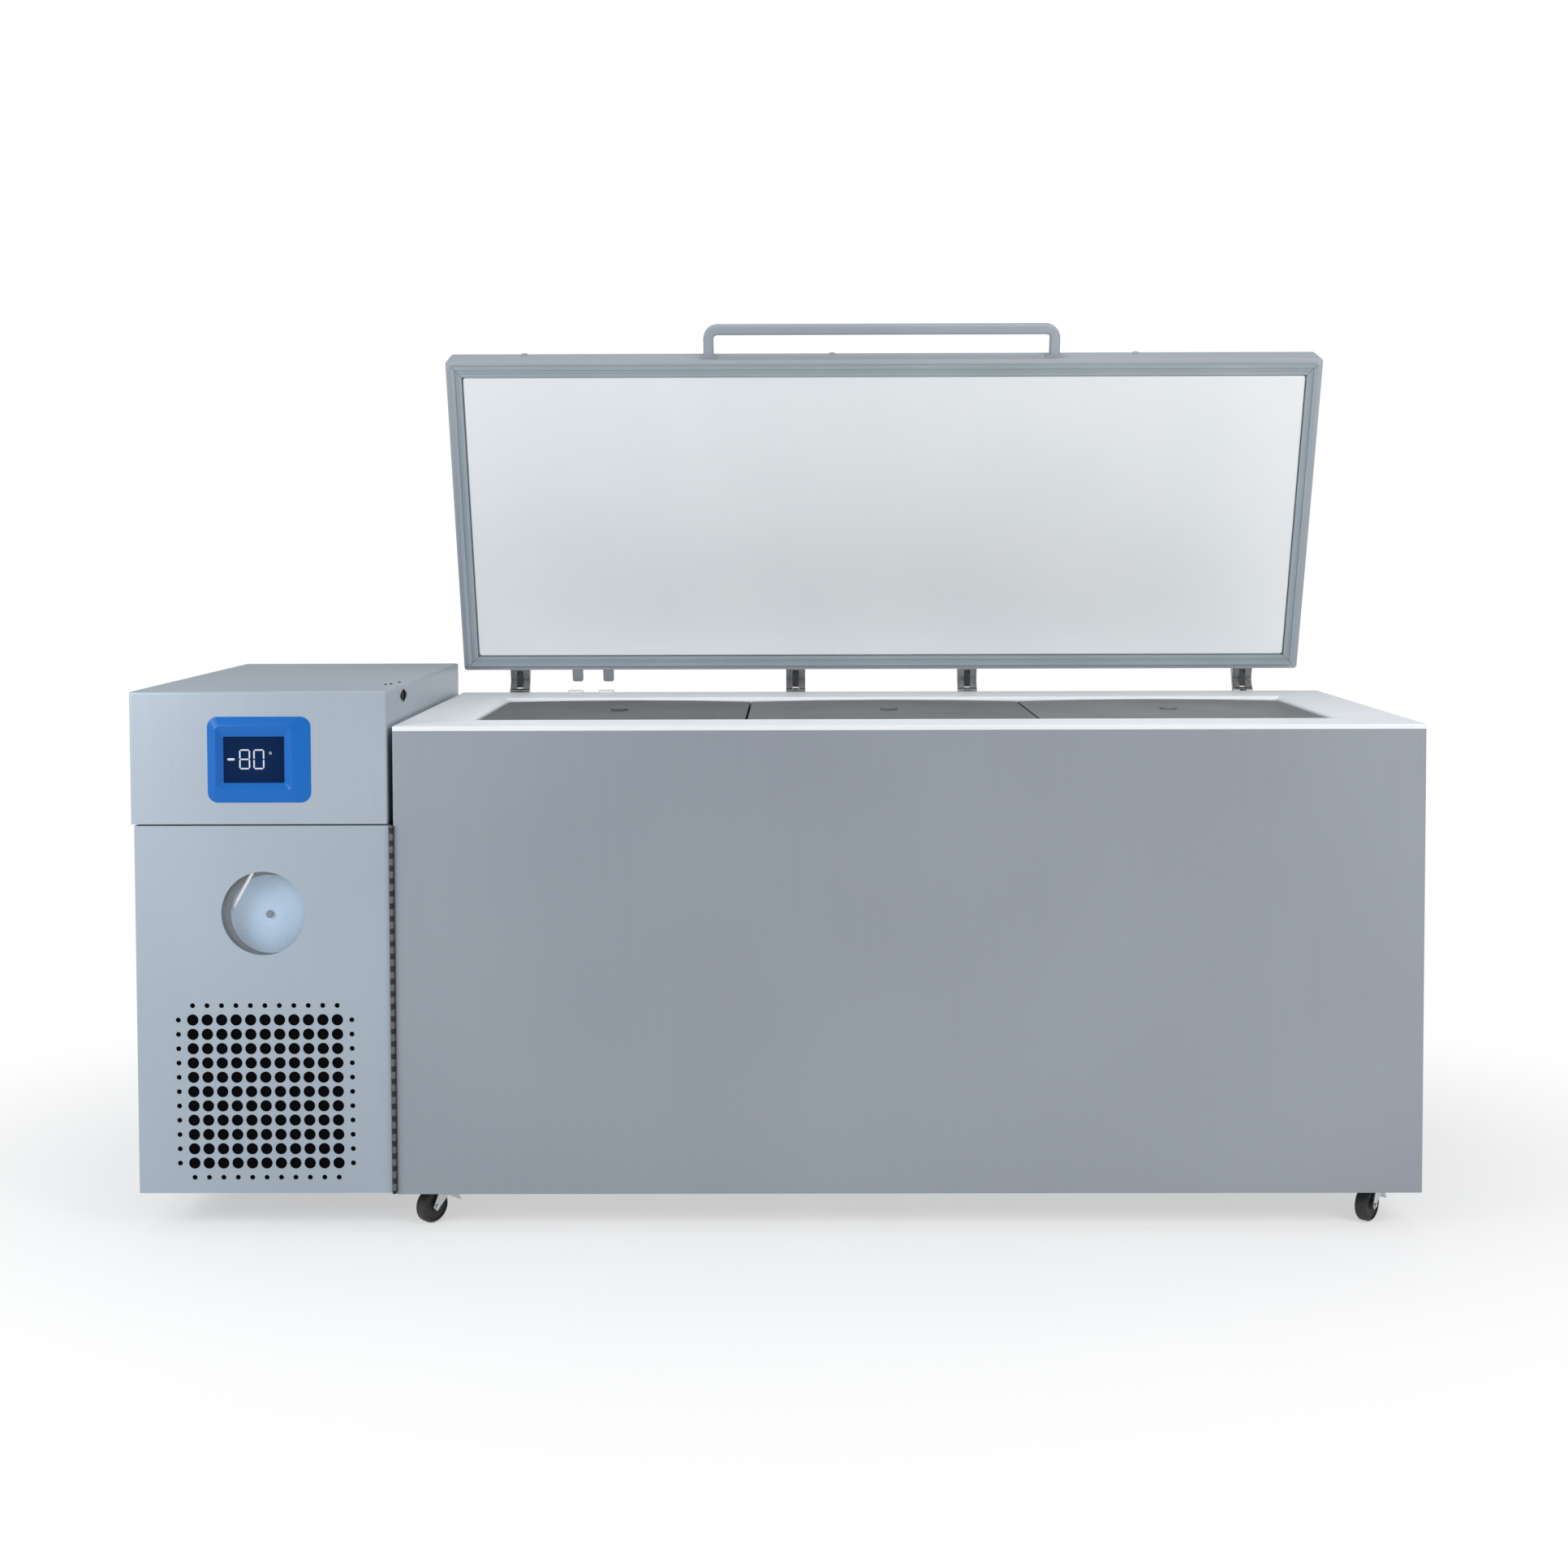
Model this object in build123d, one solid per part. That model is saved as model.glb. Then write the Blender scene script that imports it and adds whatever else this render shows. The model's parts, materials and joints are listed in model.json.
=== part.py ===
from build123d import *
import os
from math import cos, radians, sin

os.makedirs("parts", exist_ok=True)

# Sizes are in millimetres. X runs along the chest to the right, Y from front to back, Z up from the floor.

# Chest
chest_width = 1960.0
chest_depth = 780.0
case_bottom = 74.0
case_height = 888.0
case_corner = 4.0
sheet = 1.5
foot_flange = 18.0

# Collar round the opening
collar_thickness = 9.6
side_rim = 122.0
front_rim = 124.0
rear_rim = 147.0
bevel_run = 6.0
bevel_drop = 5.5
collar_wall = 10.0
ledge_width = 14.0
ledge_thickness = 8.0

# Inner tank and its cooling tube
tank_depth = 660.0
tank_wall = 1.5
tank_corner = 12.0
tube_width = 12.0
tube_height = 8.0
tube_turns = 8
tube_back_gap = 60.0

# Inner lids
inner_lid_thickness = 62.5
inner_lid_crown = 4.0
inner_lid_seams = (538.0, 1126.0)
inner_lid_clearance = 2.5
inner_lid_seat_gap = 0.3
grip_radius = 18.0
grip_height = 5.0

# Main lid, drawn closed and then swung open
lid_width = 1919.0
lid_length = 724.0
lid_thickness = 74.0
lid_side_shift = 0.0
lid_rear_margin = 24.0
lid_lift = 9.4
lid_sheet = 2.0
lid_corner = 7.0
lid_edge_round = 5.0
lid_flange = 12.0
lid_open_angle = 73.0
hinge_setback = 27.6
hinge_drop = 3.2

# Lid seal and inner panel
seal_width = 23.0
seal_gap = 0.3
seal_groove = 7.0
panel_rise = 6.0
panel_gap = 1.0
panel_corner = 8.0

# Lid handle
handle_width = 783.0
handle_shift = -4.0
handle_reach = 71.0
handle_bar = 22.0
handle_bar_depth = 24.0
handle_bend = 20.0
handle_foot = 38.0
handle_foot_thickness = 3.0

# Plugs in the filling holes of the lid's front edge
plug_offsets = (-794.0, -112.0, 560.0)
plug_radius = 7.0
plug_height = 3.0
plug_level = 62.0

# Four lid hinges
hinge_offsets = (-832.0, -195.0, 201.0, 836.0)
hinge_width = 44.0
hinge_arm = 15.0
hinge_side_gap = 0.4
hinge_eye = 10.0
hinge_pin = 5.0
hinge_fit = 0.05
hinge_plate = 4.0
hinge_plate_height = 90.0
lid_leaf_height = 56.0

# Lid position magnets and the sensors under them
magnet_offsets = (-699.0, -628.0)
magnet_width = 24.0
magnet_length = 30.0
magnet_corner = 5.0
magnet_height = 10.0
sensor_width = 34.0
sensor_height = 6.0
sensor_length = 20.0

# Access port through the back wall
port_from_right = 300.0
port_height = 560.0
port_radius = 16.0
port_flange_radius = 34.0
port_flange_thickness = 4.0
port_cap_length = 14.0

# Cabinet at the left end
hood_width = 488.5
hood_gap = 10.0
hood_height = 253.0
hood_seam = 786.0
hood_corner = 5.0
lower_inset = 6.0
panel_flange = 16.0
hood_flange = 24.0
base_pan_lip = 20.0

# Display
bezel_width = 197.0
bezel_height = 164.0
bezel_rise = 9.0
bezel_corner = 20.0
ridge_width = 148.0
ridge_height = 125.0
ridge_shift = -8.5
ridge_lift = 3.5
ridge_rim = 2.5
bezel_from_left = 246.4
bezel_level = 909.0
screen_width = 115.5
screen_height = 88.0
screen_shift = -10.0
screen_border = 3.0
screen_thickness = 6.0

# Service door
door_depth = 20.0
door_gap = 3.0
door_hinge_gap = 5.0
door_corner = 3.0
window_radius = 80.0
window_from_left = 250.1
window_level = 615.0
window_lip = 5.0
grille_columns = 11
grille_rows = 11
grille_pitch = 27.6
grille_hole = 11.0
grille_small_hole = 4.8
grille_level = 273.0
grille_from_left = 251.0

# Piano hinge of the service door
knuckle_radius = 4.0
knuckle_count = 14
knuckle_gap = 0.4
door_pin = 1.6
door_pin_fit = 0.05
leaf_thickness = 1.2
leaf_depth = 17.0

# Chart recorder behind the round window
recorder_width = 196.0
recorder_height = 226.0
recorder_depth = 58.0
recess_half_width = 84.0
recess_height = 196.0
recess_depth = 46.0
glass_radius = 84.0
glass_thickness = 3.0
chart_radius = 76.0
chart_thickness = 0.8
chart_drop = 10.0
hub_radius = 7.0
hub_height = 6.0
spindle_radius = 2.5
spindle_fit = 0.05
pen_length = 100.0
pen_width = 6.0
pen_thickness = 1.6
pen_lean = 29.3
pen_pivot_radius = 2.0
pen_pivot_rise = 92.0
pen_pivot_left = 23.0

# Air filter behind the grille
filter_frame_bar = 12.0
filter_depth = 14.0
filter_margin = 24.0

# Casters
caster_inset_x = 72.0
caster_inset_y = 80.0
caster_height = 85.0
base_thickness = 3.0
wheel_radius = 32.5
wheel_width = 25.0
tyre_thickness = 7.0
hub_bore = 4.0
axle_fit = 0.06
caster_trail = 25.0
caster_angles = (230.0, 230.0, 140.0, 120.0)
fork_plate = 2.5
fork_side_gap = 1.5
fork_top = 70.0
raceway_radius = 23.0
raceway_height = 8.0
raceway_gap = 0.4
king_pin = 5.0
king_pin_fit = 0.06
caster_plate_size = 62.0
caster_plate_thickness = 3.0
braked_casters = 2
brake_pin = 2.0
brake_pin_fit = 0.05
brake_pin_back = 11.0
brake_pin_drop = 10.0
brake_side_gap = 0.5
brake_reach = 26.0

# Compressors
compressor_radius = 96.0
compressor_wall = 150.0
compressor_dome = 58.0
compressor_bowl = 36.0
compressor_band = 6.0
compressor_plate = 4.0
compressor_feet_span = 210.0
compressor_foot = 12.0
grommet_height = 16.0

# Condenser and its fan
condenser_width = 320.0
condenser_height = 330.0
condenser_depth = 60.0
condenser_setback = 60.0
condenser_lift = 18.0
fin_count = 22
fin_groove = 7.0
fin_groove_depth = 22.0
bend_count = 6
bend_tube_radius = 5.0
shroud_depth = 34.0
shroud_sheet = 2.0
fan_radius = 120.0
fan_ring_gap = 5.0
fan_hub_radius = 30.0
fan_hub_depth = 26.0
fan_blades = 5
fan_blade_sweep = 44.0
fan_blade_thickness = 2.5
fan_blade_pitch = 28.0
motor_radius = 38.0
motor_length = 60.0
motor_strut = 8.0
motor_shaft = 4.0
motor_shaft_fit = 0.05

# Refrigerant pipes, driers and controls
pipe_radius = 5.0
pipe_bend = 22.0
drier_radius = 26.0
drier_length = 170.0
drier_level = 210.0
control_width = 300.0
control_depth = 240.0
control_height = 110.0
inlet_width = 48.0
inlet_height = 28.0
inlet_depth = 26.0
rocker_width = 14.0
rocker_height = 22.0
rocker_depth = 9.0
rocker_tilt = 7.0
rocker_gap = 0.6
rocker_frame = 8.0
rocker_pin = 1.5
rocker_pin_fit = 0.05
rocker_pin_reach = 4.0
lock_radius = 9.0
lock_setback = 158.0
lock_level = 1018.0
lock_length = 22.0
lock_fit = 0.05
lock_flange_radius = 12.0

# Places worked out from the sizes above
hood_left = -(chest_width + hood_gap + hood_width) / 2
hood_right = hood_left + hood_width
chest_left = hood_right + hood_gap
chest_right = chest_left + chest_width
case_top = case_bottom + case_height
collar_top = case_top + collar_thickness
lid_plane = collar_top + lid_lift
ledge_top = collar_top - bevel_drop - inner_lid_thickness
ledge_bottom = ledge_top - ledge_thickness
hood_top = hood_seam + hood_height
lower_left = hood_left + lower_inset
lower_right = chest_left
base_top = caster_height + base_thickness
tank_bottom = ledge_bottom - tank_depth

# Front to back, the box from the bezel's face to the open lid's rear corner is centred on the origin
open_cos = cos(radians(lid_open_angle))
open_sin = sin(radians(lid_open_angle))
corner_from_pivot_y = -hinge_setback - lid_rear_margin - lid_edge_round
corner_from_pivot_z = lid_lift + hinge_drop + lid_thickness - lid_edge_round
lid_reach_behind = (
    hinge_setback + corner_from_pivot_y * open_cos + corner_from_pivot_z * open_sin + lid_edge_round
)
front = -(chest_depth + lid_reach_behind - bezel_rise) / 2
back = front + chest_depth
pivot_y = back + hinge_setback
pivot_z = collar_top - hinge_drop

lid_left = chest_left + lid_side_shift
lid_right = lid_left + lid_width
lid_middle = (lid_left + lid_right) / 2
lid_rear = back - lid_rear_margin
lid_front = lid_rear - lid_length
lid_top = lid_plane + lid_thickness


def block(x0, x1, y0, y1, z0, z1):
    return Pos((x0 + x1) / 2, (y0 + y1) / 2, (z0 + z1) / 2) * Box(x1 - x0, y1 - y0, z1 - z0)


def rod_x(x0, x1, y, z, radius):
    return Pos((x0 + x1) / 2, y, z) * Rot(Y=90) * Cylinder(radius, x1 - x0)


def rod_y(x, y0, y1, z, radius):
    return Pos(x, (y0 + y1) / 2, z) * Rot(X=90) * Cylinder(radius, y1 - y0)


def rod_z(x, y, z0, z1, radius):
    return Pos(x, y, (z0 + z1) / 2) * Cylinder(radius, z1 - z0)


def upright(shape):
    return shape.edges().filter_by(Axis.Z)


def opened(shape):
    return Pos(0, pivot_y, pivot_z) * Rot(X=-lid_open_angle) * Pos(0, -pivot_y, -pivot_z) * shape


def swivelled(shape, x, y, angle):
    return Pos(x, y, 0) * Rot(Z=angle) * shape


def save(name, *solids):
    shapes = [s for shape in solids for s in shape.solids()]
    export_step(shapes[0] if len(shapes) == 1 else Compound(children=shapes), f"parts/{name}.step")


# Chest body

def case_block(margin, y1, z0, z1):
    shape = block(
        chest_left + margin, chest_right - margin, front + margin, y1, z0, z1
    )
    return fillet(upright(shape).group_by(Axis.Y)[0], case_corner - margin)


def rim_block(inset, z0, z1):
    return block(
        chest_left + side_rim + inset, chest_right - side_rim - inset,
        front + front_rim + inset, back - rear_rim - inset, z0, z1,
    )


def chest_case():
    walls = case_block(0, back, case_bottom, case_top)
    walls -= case_block(sheet, back + sheet, case_bottom - sheet, case_top + sheet)
    foot = case_block(0, back, case_bottom, case_bottom + sheet)
    foot -= block(
        chest_left + foot_flange, chest_right - foot_flange,
        front + foot_flange, back + sheet, case_bottom - sheet, case_bottom + 2 * sheet,
    )
    return walls + foot


def chest_back_panel():
    panel = block(
        chest_left + sheet, chest_right - sheet, back - sheet, back, case_bottom + sheet, case_top
    )
    return panel - rod_y(port_x, back - 2 * sheet, back + sheet, port_height, port_radius)


def chest_base_pan():
    return case_block(sheet, back - sheet, caster_height, base_top)


def liner_tank():
    top = ledge_bottom
    throat = bevel_run + ledge_width
    tank = fillet(upright(rim_block(throat - tank_wall, tank_bottom - tank_wall, top)), tank_corner)
    cavity = fillet(upright(rim_block(throat, tank_bottom, top + tank_wall)), tank_corner - tank_wall)
    flange = rim_block(bevel_run, top - tank_wall, top)
    return (tank + flange) - cavity - port_bore(port_radius)


def collar():
    plate = block(chest_left, chest_right, front, back, case_top, collar_top)
    plate = fillet(upright(plate).group_by(Axis.Y)[0], case_corner)
    wall = rim_block(bevel_run - collar_wall, ledge_bottom, case_top)
    pocket = rim_block(bevel_run, ledge_top, collar_top + sheet)
    throat = rim_block(bevel_run + ledge_width, ledge_bottom - sheet, collar_top)
    mouth = loft([rim_face(0, collar_top), rim_face(bevel_run, collar_top - bevel_drop)])
    ring = plate + wall - pocket - throat - mouth
    return ring


def rim_face(inset, level):
    width = chest_width - 2 * (side_rim + inset)
    depth = chest_depth - front_rim - rear_rim - 2 * inset
    middle = (front + front_rim + back - rear_rim) / 2
    return Pos((chest_left + chest_right) / 2, middle, level) * Rectangle(width, depth)


port_x = chest_right - port_from_right


def port_bore(radius):
    return rod_y(port_x, (front + back) / 2, back + sheet, port_height, radius)


def tube_ring(level):
    throat = bevel_run + ledge_width - tank_wall
    ring = fillet(upright(rim_block(throat - tube_height, level, level + tube_width)), tank_corner + tube_height)
    ring -= fillet(upright(rim_block(throat, level, level + tube_width)), tank_corner)
    middle = (chest_left + chest_right) / 2
    return ring - block(
        middle - tube_back_gap / 2, middle + tube_back_gap / 2, 0, back, level, level + tube_width
    )


def evaporator_tube():
    throat_back = back - rear_rim - bevel_run - ledge_width + tank_wall
    middle = (chest_left + chest_right) / 2
    first = tank_bottom + tube_width
    pitch = (ledge_bottom - 3 * tube_width - first) / (tube_turns - 1)
    tube = tube_ring(first)
    for turn in range(1, tube_turns):
        side = 1 if turn % 2 else -1
        edge = middle + side * tube_back_gap / 2
        level = first + turn * pitch
        riser = block(
            min(edge, edge + side * tube_width), max(edge, edge + side * tube_width),
            throat_back, throat_back + tube_height, level - pitch, level + tube_width,
        )
        tube = tube + tube_ring(level) + riser
    return tube


def chest_insulation(tube):
    foam = case_block(sheet, back - sheet, base_top, case_top)
    throat = bevel_run + ledge_width
    foam -= fillet(upright(rim_block(throat - tank_wall, tank_bottom - tank_wall, ledge_bottom)), tank_corner)
    foam -= rim_block(bevel_run, ledge_bottom - tank_wall, ledge_bottom)
    foam -= rim_block(bevel_run - collar_wall, ledge_bottom, case_top)
    return foam - tube - port_bore(port_radius)


def access_port():
    inner_end = back - rear_rim - bevel_run - ledge_width
    sleeve = rod_y(port_x, inner_end, back + port_flange_thickness, port_height, port_radius)
    flange = rod_y(port_x, back, back + port_flange_thickness, port_height, port_flange_radius)
    cap = rod_y(
        port_x, back + port_flange_thickness, back + port_cap_length, port_height, port_radius + hinge_plate
    )
    return sleeve + flange + cap


def lid_sensors():
    sensors = []
    for offset in magnet_offsets:
        x = lid_middle + offset
        pad = block(
            x - sensor_width / 2, x + sensor_width / 2,
            back - sensor_length - sheet, back - sheet, collar_top, collar_top + sensor_height,
        )
        sensors.append(fillet(upright(pad), sensor_height))
    return sensors


# Lid hinges

def hinge_chest_leaves():
    leaves = []
    for offset in hinge_offsets:
        x = lid_middle + offset
        half = hinge_width / 2 - hinge_arm - hinge_side_gap
        plate = block(
            x - hinge_width / 2, x + hinge_width / 2,
            back, back + hinge_plate, case_top - hinge_plate_height, case_top,
        )
        knuckle = rod_x(x - half, x + half, pivot_y, pivot_z, hinge_eye)
        web = Plane.YZ * Polygon(
            (back, case_top - hinge_plate_height + hinge_eye), (back, case_top),
            (pivot_y, pivot_z + hinge_eye), (pivot_y + hinge_eye * 0.8, pivot_z - hinge_eye * 0.6),
            align=None,
        )
        web = Pos(x - half, 0, 0) * extrude(web, 2 * half, dir=(1, 0, 0))
        pin = rod_x(x - hinge_width / 2, x + hinge_width / 2, pivot_y, pivot_z, hinge_pin)
        leaves.append(plate + web + knuckle + pin)
    return leaves


def hinge_lid_leaves():
    leaves = []
    reach = pivot_y - lid_rear - hinge_plate
    for offset in hinge_offsets:
        x = lid_middle + offset
        leaf = block(
            x - hinge_width / 2, x + hinge_width / 2, lid_rear, lid_rear + hinge_plate,
            lid_plane + lid_sheet, lid_plane + lid_sheet + lid_leaf_height,
        )
        for side in (-1, 1):
            centre = x + side * (hinge_width - hinge_arm) / 2
            arm = Plane.YZ * Polygon(
                (lid_rear + hinge_plate, lid_plane + lid_sheet),
                (pivot_y - reach / 2, lid_plane + lid_sheet),
                (pivot_y - hinge_eye, pivot_z),
                (pivot_y, pivot_z + hinge_eye),
                (lid_rear + hinge_plate, lid_plane + lid_sheet + lid_leaf_height / 2),
                align=None,
            )
            arm = Pos(centre - hinge_arm / 2, 0, 0) * extrude(arm, hinge_arm, dir=(1, 0, 0))
            eye = rod_x(centre - hinge_arm / 2, centre + hinge_arm / 2, pivot_y, pivot_z, hinge_eye)
            leaf = leaf + arm + eye
        leaf -= rod_x(x - hinge_width, x + hinge_width, pivot_y, pivot_z, hinge_pin + hinge_fit)
        leaves.append(opened(leaf))
    return leaves


# Main lid

def lid_block(margin, z0, z1):
    shape = block(
        lid_left + margin, lid_right - margin, lid_front + margin, lid_rear - margin, z0, z1
    )
    return fillet(upright(shape), max(lid_corner - margin, sheet))


def lid_outer(margin):
    shape = lid_block(margin, lid_plane, lid_top - margin)
    return fillet(shape.faces().sort_by(Axis.Z)[-1].edges(), lid_edge_round - margin)


def lid_shell():
    shell = lid_outer(0) - lid_outer(lid_sheet)
    flange = lid_block(0, lid_plane, lid_plane + lid_sheet)
    flange -= lid_block(lid_flange, lid_plane - lid_sheet, lid_plane + 2 * lid_sheet)
    return opened(shell + flange)


def lid_foam():
    flange = lid_block(0, lid_plane, lid_plane + lid_sheet)
    flange -= lid_block(lid_flange, lid_plane - lid_sheet, lid_plane + 2 * lid_sheet)
    return opened(lid_outer(lid_sheet) - flange)


def lid_inner_panel():
    margin = lid_flange + seal_width + panel_gap
    panel = block(
        lid_left + margin, lid_right - margin, lid_front + margin, lid_rear - margin,
        lid_plane - panel_rise, lid_plane,
    )
    panel = fillet(upright(panel), panel_corner)
    panel = chamfer(panel.faces().sort_by(Axis.Z)[0].edges(), panel_rise / 2)
    return opened(panel)


def lid_gasket():
    bottom = collar_top + seal_gap
    seal = lid_block(lid_flange, bottom, lid_plane)
    inner = lid_flange + seal_width
    seal -= block(
        lid_left + inner, lid_right - inner, lid_front + inner, lid_rear - inner, bottom - 1, lid_plane + 1
    )
    groove_out = lid_flange + (seal_width - seal_groove) / 2
    groove = block(
        lid_left + groove_out, lid_right - groove_out, lid_front + groove_out, lid_rear - groove_out,
        bottom - 1, bottom + seal_groove / 3,
    )
    groove_in = groove_out + seal_groove
    groove -= block(
        lid_left + groove_in, lid_right - groove_in, lid_front + groove_in, lid_rear - groove_in,
        bottom - 1, bottom + seal_groove / 3,
    )
    return opened(seal - groove)


def lid_handle():
    level = lid_plane + lid_thickness / 2
    foot_y = lid_front - handle_foot_thickness
    out_y = lid_front - handle_reach + handle_bar / 2
    half = (handle_width - handle_bar) / 2
    middle = lid_middle + handle_shift
    path = FilletPolyline(
        (middle - half, foot_y, level), (middle - half, out_y, level),
        (middle + half, out_y, level), (middle + half, foot_y, level),
        radius=handle_bend,
    )
    section = Plane(
        origin=(middle - half, foot_y, level), x_dir=(1, 0, 0), z_dir=(0, -1, 0)
    ) * RectangleRounded(handle_bar, handle_bar_depth, handle_bar / 4)
    handle = sweep(section, path=path)
    for side in (-1, 1):
        x = middle + side * half
        handle += block(
            x - handle_foot / 2, x + handle_foot / 2, foot_y, lid_front,
            level - handle_foot / 2, level + handle_foot / 2,
        )
    return opened(handle)


def lid_plugs():
    level = lid_plane + plug_level
    plugs = []
    for offset in plug_offsets:
        x = lid_middle + offset
        plug = rod_y(x, lid_front - plug_height, lid_front, level, plug_radius)
        plugs.append(opened(chamfer(plug.edges().group_by(Axis.Y)[0], plug_height / 2)))
    return plugs


def lid_magnets():
    magnets = []
    for offset in magnet_offsets:
        x = lid_middle + offset
        lug = block(
            x - magnet_width / 2, x + magnet_width / 2, lid_rear, lid_rear + magnet_length,
            lid_plane + lid_sheet, lid_plane + lid_sheet + magnet_height,
        )
        lug = fillet(upright(lug).group_by(Axis.Y)[-1], magnet_corner)
        magnets.append(opened(lug))
    return magnets


# Inner lids

pocket_left = chest_left + side_rim + bevel_run
pocket_right = chest_right - side_rim - bevel_run
pocket_front = front + front_rim + bevel_run
pocket_back = back - rear_rim - bevel_run
inner_lid_edges = (
    pocket_left,
    pocket_left + inner_lid_seams[0],
    pocket_left + inner_lid_seams[1],
    pocket_right,
)


def inner_lid(index):
    x0 = inner_lid_edges[index] + inner_lid_clearance
    x1 = inner_lid_edges[index + 1] - inner_lid_clearance
    y0 = pocket_front + inner_lid_clearance
    y1 = pocket_back - inner_lid_clearance
    bottom = ledge_top + inner_lid_seat_gap
    edge = bottom + inner_lid_thickness - inner_lid_crown
    crest = bottom + inner_lid_thickness
    middle = (x0 + x1) / 2
    outline = Polyline((x0, edge), (x0, bottom), (x1, bottom), (x1, edge))
    outline += ThreePointArc((x1, edge), (middle, crest), (x0, edge))
    profile = Plane.XZ * make_face(outline)
    lid = Pos(0, y0, 0) * extrude(profile, y1 - y0, dir=(0, 1, 0))
    grip = rod_z(middle, (y0 + y1) / 2, crest - inner_lid_crown, crest + grip_height, grip_radius)
    grip = fillet(grip.edges().group_by(Axis.Z)[-1], grip_height / 3)
    return lid + grip


# Cabinet

def cabinet_base_pan():
    pan = block(lower_left, lower_right, front + door_depth + door_gap, back, case_bottom, base_top)
    return pan - block(
        lower_left + sheet, lower_right - sheet, front + door_depth + door_gap + sheet, back - sheet,
        case_bottom + sheet, base_top + sheet,
    )


def cabinet_side_panel():
    y0 = front + door_depth + door_gap
    wall = block(lower_left, lower_left + sheet, y0, back, base_top, hood_seam)
    front_flange = block(lower_left, lower_left + panel_flange, y0, y0 + sheet, base_top, hood_seam)
    back_flange = block(
        lower_left, lower_left + panel_flange, back - 2 * sheet, back - sheet, base_top, hood_seam
    )
    return wall + front_flange + back_flange


def cabinet_back_panel():
    panel = block(lower_left + sheet, lower_right, back - sheet, back, base_top, hood_seam)
    louvre_width = (lower_right - lower_left) / 3
    x = (lower_left + lower_right) / 2
    for row in range(8):
        level = base_top + 190 + row * 34
        panel -= block(x - louvre_width / 2, x + louvre_width / 2, back - 2 * sheet, back + sheet, level, level + 9)
    return panel - block(
        inlet_x - inlet_width / 2, rocker_x + rocker_width / 2 + rocker_frame, back - 2 * sheet, back + sheet,
        inlet_level - inlet_height / 2, inlet_level + inlet_height / 2,
    )


inlet_x = lower_left + 110
inlet_level = hood_seam - 60
rocker_x = inlet_x + 50


def hood_block(margin, z0):
    shape = block(hood_left + margin, hood_right - margin, front + margin, back - margin, z0, hood_top - margin)
    shape = fillet(upright(shape), hood_corner - margin)
    return fillet(shape.faces().sort_by(Axis.Z)[-1].edges(), hood_corner - margin)


def hood_shell():
    shell = hood_block(0, hood_seam) - hood_block(sheet, hood_seam - sheet)
    flange = block(
        hood_left + sheet, hood_right - sheet, front + sheet, back - sheet, hood_seam, hood_seam + sheet
    )
    flange -= block(
        hood_left + hood_flange, hood_right - hood_flange, front + door_depth + hood_flange,
        back - hood_flange, hood_seam - sheet, hood_seam + 2 * sheet,
    )
    shell = shell + flange - screen_block(screen_border, front - sheet, front + 2 * sheet)
    return shell - rod_x(
        hood_right - 2 * sheet, hood_right + sheet, front + lock_setback, lock_level, lock_radius + lock_fit
    )


bezel_x = hood_left + bezel_from_left
screen_x = bezel_x + screen_shift


def screen_block(border, y0, y1):
    return block(
        screen_x - screen_width / 2 - border, screen_x + screen_width / 2 + border, y0, y1,
        bezel_level - screen_height / 2 - border, bezel_level + screen_height / 2 + border,
    )


def bezel_face(width, height, corner, x, level, rise):
    plane = Plane(origin=(x, front - rise, level), x_dir=(1, 0, 0), z_dir=(0, -1, 0))
    return plane * RectangleRounded(width, height, corner)


def display_bezel():
    ridge_x = bezel_x + ridge_shift
    ridge_level = bezel_level + ridge_lift
    body = loft([
        bezel_face(bezel_width, bezel_height, bezel_corner, bezel_x, bezel_level, 0),
        bezel_face(ridge_width, ridge_height, bezel_corner / 2, ridge_x, ridge_level, bezel_rise),
    ])
    well = loft([
        bezel_face(screen_width, screen_height, 1, screen_x, bezel_level, 0),
        bezel_face(
            ridge_width - 2 * ridge_rim, ridge_height - 2 * ridge_rim, bezel_corner / 2 - ridge_rim,
            ridge_x, ridge_level, bezel_rise,
        ),
    ])
    return body - well


def touch_screen():
    return screen_block(screen_border, front, front + screen_thickness)


def control_box():
    x0 = hood_left + (hood_width - control_width) / 2
    y1 = back - 60
    box = block(x0, x0 + control_width, y1 - control_depth, y1, hood_top - sheet - control_height, hood_top - sheet)
    lip = block(
        x0 - panel_flange, x0 + control_width + panel_flange, y1 - control_depth, y1,
        hood_top - 2 * sheet, hood_top - sheet,
    )
    return box + lip


def key_lock():
    y = front + lock_setback
    barrel = rod_x(hood_right - lock_length, hood_right, y, lock_level, lock_radius)
    flange = rod_x(hood_right + 0.3, hood_right + 2.3, y, lock_level, lock_flange_radius)
    neck = rod_x(hood_right - 1, hood_right + 1, y, lock_level, lock_radius)
    slot = block(hood_right, hood_right + 4, y - 1, y + 1, lock_level - 5, lock_level + 5)
    return barrel + neck + flange - slot


# Service door

door_left = lower_left
door_right = chest_left - door_hinge_gap - leaf_thickness
door_bottom = case_bottom + door_gap
door_top = hood_seam - door_gap
window_x = hood_left + window_from_left
grille_x = hood_left + grille_from_left
pin_x = chest_left - door_hinge_gap / 2
pin_y = front - knuckle_radius


def service_door():
    door = block(door_left, door_right, front, front + door_depth, door_bottom, door_top)
    door = fillet(upright(door).group_by(Axis.Y)[0], door_corner)
    hollow = block(
        door_left + sheet, door_right - sheet, front + sheet, front + door_depth + sheet,
        door_bottom + sheet, door_top - sheet,
    )
    lip = rod_y(window_x, front, front + window_lip, window_level, window_radius + sheet)
    door = (door - hollow) + lip
    door -= rod_y(window_x, front - 1, front + door_depth, window_level, window_radius)
    return door - grille_holes()


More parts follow.
